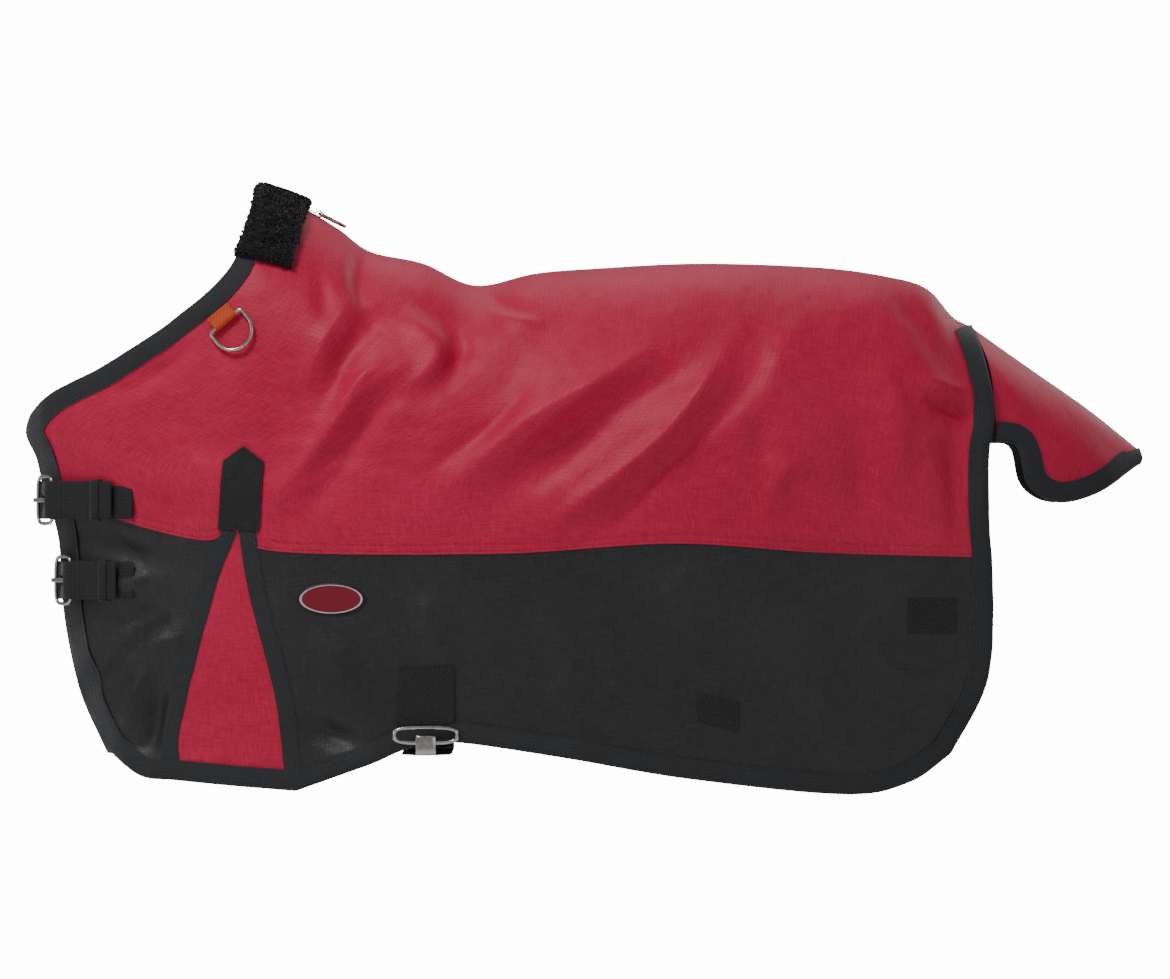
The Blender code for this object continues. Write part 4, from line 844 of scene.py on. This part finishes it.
# closed round bar along a flat path
def sweepRound(name, path, radius, plane, count=12):
    step = np.roll(path, -1, axis=0) - np.roll(path, 1, axis=0)
    step /= np.linalg.norm(step, axis=1, keepdims=True)
    across = np.cross(step, plane)
    angles = np.linspace(0, 2 * math.pi, count, endpoint=False)
    verts = (path[:, None] + radius * (across[:, None] * np.cos(angles)[None, :, None]
                                       + plane[None, None] * np.sin(angles)[None, :, None])).reshape(-1, 3)
    n = len(path)
    faces = [(i * count + k, i * count + (k + 1) % count,
              (i + 1) % n * count + (k + 1) % count, (i + 1) % n * count + k)
             for i in range(n) for k in range(count)]
    obj = wholeMesh(name, verts, faces, None, 180)
    outward(obj)
    return obj


# D rings: a straight bar, two small corners and a round bow, where the fixed shape has them
dRing = {"wire": 0.0019, "corner": 0.0036, "bend": 0.32}
for joint in frame["joints"]:
    node = joint.get("child") or joint.get("body")
    if node not in dRings:
        continue
    pivot, axis = np.array(joint["pos_m"], float), np.array(joint["axis"], float)
    axis /= np.linalg.norm(axis)
    co = np.array([v.co for v in frame["nodes"][node].data.vertices])
    side = (co - pivot) @ axis
    half = (side.max() - side.min()) / 2 - dRing["wire"]
    down = co.mean(0) - pivot
    down -= axis * down.dot(axis)
    down /= np.linalg.norm(down)
    corner, bend = dRing["corner"], dRing["bend"] * half * 2
    flat = [(-half + corner + (2 * half - 2 * corner) * t, 0) for t in np.linspace(0, 1, 9)]
    flat += [(half - corner + corner * math.sin(a), corner - corner * math.cos(a))
             for a in np.linspace(0.2, 1.57, 7)]
    flat += [(half * math.cos(a), bend + half * math.sin(a)) for a in np.linspace(0, math.pi, 34)]
    flat += [(-half + corner - corner * math.cos(a), corner - corner * math.sin(a))
             for a in np.linspace(0.0, 1.37, 7)]
    path = np.array([pivot + axis * a + down * b for a, b in flat])
    fine[node] = sweepRound(node + "_fine", path, dRing["wire"], np.cross(axis, down))
    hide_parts(node)
print("fittings done:", len(fine))

threadPieces = {}
for (colour, owner), (blocks, faces) in threads.items():
    verts = np.concatenate(blocks)
    obj = wholeMesh("threads_" + colour + "_" + owner, verts, np.concatenate(faces), None, 180)
    threadPieces[colour, owner] = obj
    print("stitches done:", colour, owner, len(verts) // 6)


# wraps a socket, so that maths on it adds nodes
class Shade:
    def __init__(self, tree, socket=None):
        self.tree, self.socket = tree, socket

    def node(self, kind, settings=None, sockets=None, out=0):
        made = self.tree.nodes.new("ShaderNode" + kind)
        for key, value in (settings or {}).items():
            setattr(made, key, value)
        for key, value in (sockets or {}).items():
            if isinstance(value, Shade):
                self.tree.links.new(value.socket, made.inputs[key])
            else:
                made.inputs[key].default_value = value
        return Shade(self.tree, made.outputs[out])

    def maths(self, operation, other=0.0, flip=False):
        pair = (other, self) if flip else (self, other)
        return self.node("Math", {"operation": operation}, dict(enumerate(pair)))

    def __add__(self, other): return self.maths("ADD", other)
    def __radd__(self, other): return self.maths("ADD", other)
    def __sub__(self, other): return self.maths("SUBTRACT", other)
    def __rsub__(self, other): return self.maths("SUBTRACT", other, True)
    def __mul__(self, other): return self.maths("MULTIPLY", other)
    def __rmul__(self, other): return self.maths("MULTIPLY", other)
    def __truediv__(self, other): return self.maths("DIVIDE", other)
    def __rtruediv__(self, other): return self.maths("DIVIDE", other, True)


def linear(colour):
    return tuple((c / 255 / 12.92) if c <= 10 else ((c / 255 + 0.055) / 1.055) ** 2.4 for c in colour) + (1,)


# mixes two colours by a signal from 0 to 1
def between(signal, low, high):
    return signal.node("Mix", {"data_type": "RGBA"}, {0: signal, 6: low, 7: high}, 2)


def material(name, colour=None, roughness=0.5, metallic=0.0, sheen=0.0, specular=0.5):
    made = bpy.data.materials.new(name)
    made.use_nodes = True
    shader = made.node_tree.nodes["Principled BSDF"]
    values = {"Roughness": roughness, "Metallic": metallic, "Sheen Weight": sheen,
              "Sheen Roughness": 0.4, "Specular IOR Level": specular}
    if colour:
        values["Base Color"] = linear(colour)
    for name, value in values.items():
        shader.inputs[name].default_value = value
    return made, shader, Shade(made.node_tree)


def feed(shader, name, signal):
    signal.tree.links.new(signal.socket, shader.inputs[name])


# a chain of bumps: (height signal, strength, distance)
def bumped(shader, layers):
    normal = None
    for height, strength, distance in layers:
        sockets = {"Height": height, "Strength": strength, "Distance": distance}
        if normal:
            sockets["Normal"] = normal
        normal = height.node("Bump", None, sockets)
    feed(shader, "Normal", normal)


# the piece's own two directions in metres
def clothSpace(start):
    flat = start.node("UVMap", {"uv_map": "cloth"})
    u = flat.node("SeparateXYZ", None, {0: flat}, 0)
    v = flat.node("SeparateXYZ", None, {0: flat}, 1)
    return flat, u, v


def stretched(flat, x, y):
    return flat.node("Mapping", None, {"Vector": flat, "Scale": (x, y, 1)})


def noise(space, scale, detail=2.0, rough=0.5):
    return space.node("TexNoise", {"noise_dimensions": "3D"},
                      {"Vector": space, "Scale": scale, "Detail": detail, "Roughness": rough})


def ramp(signal, low, high):
    return signal.node("MapRange", {"clamp": True}, {0: signal, 1: low, 2: high, 3: 0.0, 4: 1.0})


weave = {"cell": 0.0046, "slubLong": 60, "slubShort": 620}


def clothMaterial(name, lit, shade, roughness, sheen, crinkle=0.3, specular=0.5):
    made, shader, start = material(name, None, roughness, 0.0, sheen, specular)
    flat, u, v = clothSpace(start)
    weft = noise(stretched(flat, weave["slubLong"], weave["slubShort"]), 1.0, 2.0)
    warp = noise(stretched(flat, weave["slubShort"], weave["slubLong"]), 1.0, 2.0)
    lineU = ramp((u / weave["cell"]).maths("PINGPONG", 0.5), 0.0, 0.11)
    lineV = ramp((v / weave["cell"]).maths("PINGPONG", 0.5), 0.0, 0.11)
    grid = 1.0 - lineU * lineV
    broad = noise(flat, 7.0, 3.0)
    slub = (weft + warp) * 0.5
    tone = ramp(slub * 0.75 + broad * 0.25, 0.38, 0.62) - grid * 0.16
    feed(shader, "Base Color", between(tone.maths("MAXIMUM", 0.0), linear(shade), linear(lit)))
    fine = noise(flat, 42.0, 4.0, 0.6)
    bumped(shader, [(fine, crinkle, 0.003), (slub * 0.6 + grid * 0.35, 0.42, 0.0007)])
    feed(shader, "Roughness", roughness - 0.08 + slub * 0.16)
    return made


# woven tape or webbing: fine ribs across it in long columns, on its own map or on two of x, y and z
def ribbedMaterial(name, lit, shade, roughness, directions=None, pitch=0.0019, column=0.0034):
    made, shader, start = material(name, None, roughness, 0.0, 0.25, 0.35)
    if directions is None:
        space, u, v = clothSpace(start)
    else:
        space = start.node("TexCoord", None, None, 3)
        u, v = (space.node("SeparateXYZ", None, {0: space}, way) for way in directions)
    rib = (u / pitch).maths("PINGPONG", 0.5) * 2.0
    row = (v / column).maths("PINGPONG", 0.5) * 2.0
    height = rib * 0.55 + ramp(row, 0.0, 0.35) * 0.45
    fuzz = noise(space, 900.0, 2.0)
    # painted shade and highlight: the colour follows the same rib and column relief as the bump, the shade colour
    # in the hollows and the lit colour on the crests
    feed(shader, "Base Color", between(ramp(height * 0.7 + fuzz * 0.3, 0.2, 0.8), linear(shade), linear(lit)))
    bumped(shader, [(height, 0.6, 0.0006), (fuzz, 0.2, 0.0003)])
    return made


redCloth = clothMaterial("redCloth", (224, 36, 84), (196, 22, 62), 0.5, 0.04, 0.3, 0.38)
blackCloth = clothMaterial("blackCloth", (48, 48, 50), (30, 30, 32), 0.48, 0.06, 0.34, 0.55)
liningCloth = clothMaterial("liningCloth", (44, 46, 52), (33, 35, 40), 0.42, 0.05, 0.25)
bindingTape = ribbedMaterial("bindingTape", (56, 58, 62), (34, 36, 39), 0.72)
patchWeb = ribbedMaterial("patchWeb", (46, 46, 49), (24, 24, 26), 0.7, None, 0.0024, 0.0026)
chestWeb = ribbedMaterial("chestWeb", (46, 46, 49), (24, 24, 26), 0.7, (1, 2))
bellyWeb = ribbedMaterial("bellyWeb", (46, 46, 49), (24, 24, 26), 0.7, (1, 0))
legWeb = ribbedMaterial("legWeb", (46, 46, 49), (24, 24, 26), 0.7, (0, 1))
orangeWeb = ribbedMaterial("orangeWeb", (226, 92, 40), (176, 58, 22), 0.68, (2, 0))


def plainMaterial(name, lit, shade, roughness, metallic, sheen, scale, strength, distance, spread=0.0):
    made, shader, start = material(name, None, roughness, metallic, sheen)
    space = start.node("TexCoord", None, None, 3)
    grain = noise(space, scale, 3.0)
    feed(shader, "Base Color", between(ramp(grain, 0.3, 0.7), linear(shade), linear(lit)))
    feed(shader, "Roughness", roughness - spread / 2 + grain * spread)
    bumped(shader, [(grain, strength, distance)])
    return made


fleeceFur = plainMaterial("fleeceFur", (26, 28, 32), (9, 10, 12), 0.95, 0.0, 0.25, 600.0, 0.5, 0.0012)
nickel = plainMaterial("nickel", (226, 223, 217), (196, 192, 184), 0.2, 1.0, 0.0, 260.0, 0.05, 0.0002, 0.14)
redThread = plainMaterial("redThread", (196, 60, 74), (150, 30, 48), 0.6, 0.0, 0.2, 1500.0, 0.3, 0.0002)
blackThread = plainMaterial("blackThread", (66, 66, 70), (34, 34, 37), 0.6, 0.0, 0.2, 1500.0, 0.3, 0.0002)

labelCloth, shader, start = material("labelCloth", None, 0.42, 0.0, 0.1)
flat, u, v = clothSpace(start)
reach = (u * u + v * v).maths("SQRT")
labelRings = {"field": (140, 22, 44), "rim": (214, 206, 208), "edge": (22, 22, 25),
              "rimFrom": (0.855, 0.865), "edgeFrom": (0.915, 0.925)}
inside = between(ramp(reach, *labelRings["rimFrom"]), linear(labelRings["field"]), linear(labelRings["rim"]))
outside = linear(labelRings["edge"])
feed(shader, "Base Color", between(ramp(reach, *labelRings["edgeFrom"]), inside, outside))
bumped(shader, [(noise(flat, 30.0, 2.0), 0.25, 0.0004)])


def dress(obj, made, slot=None, owner="rug"):
    obj.data.materials.clear()
    obj.data.materials.append(made)
    if owner == "tail_flap":
        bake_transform(obj)
    else:
        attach(obj, owner)


gussets = [panel[0] for panel in panels if panel[1] == "gusset_"]
blackPanels = [panel[0] for panel in panels if panel[1] != "gusset_"]
flapPieces = [flapSheet, flapLining] + flapTapes
for made, slot, objects in ((redCloth, "red_cloth", [upperSheet, flapSheet] + gussets),
                            (blackCloth, "black_cloth", blackPanels),
                            (liningCloth, "lining", [liningSheet, flapLining]),
                            (bindingTape, "binding", bindings + flapTapes),
                            (patchWeb, "black_webbing", webShapes),
                            (labelCloth, "label", [label]),
                            (fleeceFur, "fleece", [fleecePad, fleeceCurls])):
    for obj in objects:
        dress(obj, made, slot, "tail_flap" if obj in flapPieces else "rug")
palette = {"nickel": (nickel, "nickel"), "orange": (orangeWeb, "orange_webbing"),
           "chestWeb": (chestWeb, "black_webbing"), "bellyWeb": (bellyWeb, "black_webbing"),
           "legWeb": (legWeb, "black_webbing")}
for node, kind in fineParts.items():
    dress(fine[node], *palette[kind], bodyOf[node])
for (colour, owner), obj in threadPieces.items():
    dress(obj, redThread if colour == "red" else blackThread, None, owner)
print("finishes done")

spare = {"width": 1.05, "length": 1.03, "fill": 0.97}  # the cut is a little larger than the hung panel
for obj, name, area, size in panels:
    width = size[0] * spare["width"]
    length = max(size[2] * spare["length"], area / width / spare["fill"])

# stage: a pale floor, soft light and the camera square to the near side
studio = {
    "floor": -0.9, "reach": 15,
    "glow": 14.0, "ambient": 0.22,  # floor and sky as the camera sees them, and as they light the rug
    "lights": {  # place, target, size, power
        "key": ((-1.3, -1.5, 2.2), (0.05, 0, -0.2), 0.8, 39),
        "fill": ((2.4, -2.8, 0.5), (0.1, 0, -0.2), 2.2, 9),
        "front": ((-2.6, -1.2, 0.2), (-0.2, 0, -0.2), 1.4, 5),
        "back": ((0.1, 1.8, 2.4), (0.1, 0, -0.2), 1.5, 10),
        "far": ((1.9, 2.3, 0.9), (0.1, 0, -0.2), 1.6, 12),
    },
    "camera": (0.11, -14.0, -0.1965), "lens": 430, "sensor": 36,
}
corners = [(x * studio["reach"], y * studio["reach"], studio["floor"])
           for x, y in ((-1, -1), (1, -1), (1, 1), (-1, 1))]
stage = wholeMesh("stage", corners, [(0, 1, 2, 3)], None, 180)
stageMaterial, shader, start = material("stagePaper", (252, 252, 252), 0.9)
feed(shader, "Emission Color", between(start.node("LightPath"), (0, 0, 0, 1), (1, 1, 1, 1)))
shader.inputs["Emission Strength"].default_value = studio["glow"]
stage.data.materials.append(stageMaterial)


def softLight(name, place, target, size, energy):
    light = bpy.data.lights.new(name, "AREA")
    light.shape, light.size, light.energy = "SQUARE", size, energy
    obj = bpy.data.objects.new(name, light)
    obj.location = place
    obj.rotation_euler = (Vector(target) - Vector(place)).to_track_quat("-Z", "Y").to_euler()
    bpy.context.collection.objects.link(obj)


for name, (place, target, size, energy) in studio["lights"].items():
    softLight(name, place, target, size, energy)
world = bpy.data.worlds.new("soft")
world.use_nodes = True
sky = Shade(world.node_tree)
faint = sky.node("Background", None, {"Color": (1, 1, 1, 1), "Strength": studio["ambient"]})
bright = sky.node("Background", None, {"Color": (1, 1, 1, 1), "Strength": studio["glow"]})
seen = sky.node("MixShader", None, {0: sky.node("LightPath"), 1: faint, 2: bright})
world.node_tree.links.new(seen.socket, world.node_tree.nodes["World Output"].inputs["Surface"])
bpy.context.scene.world = world

camera = bpy.data.objects.new("camera", bpy.data.cameras.new("camera"))
camera.data.lens, camera.data.sensor_width = studio["lens"], studio["sensor"]
camera.location = studio["camera"]
camera.rotation_euler = (math.radians(90), 0, 0)
bpy.context.collection.objects.link(camera)
bpy.context.scene.camera = camera
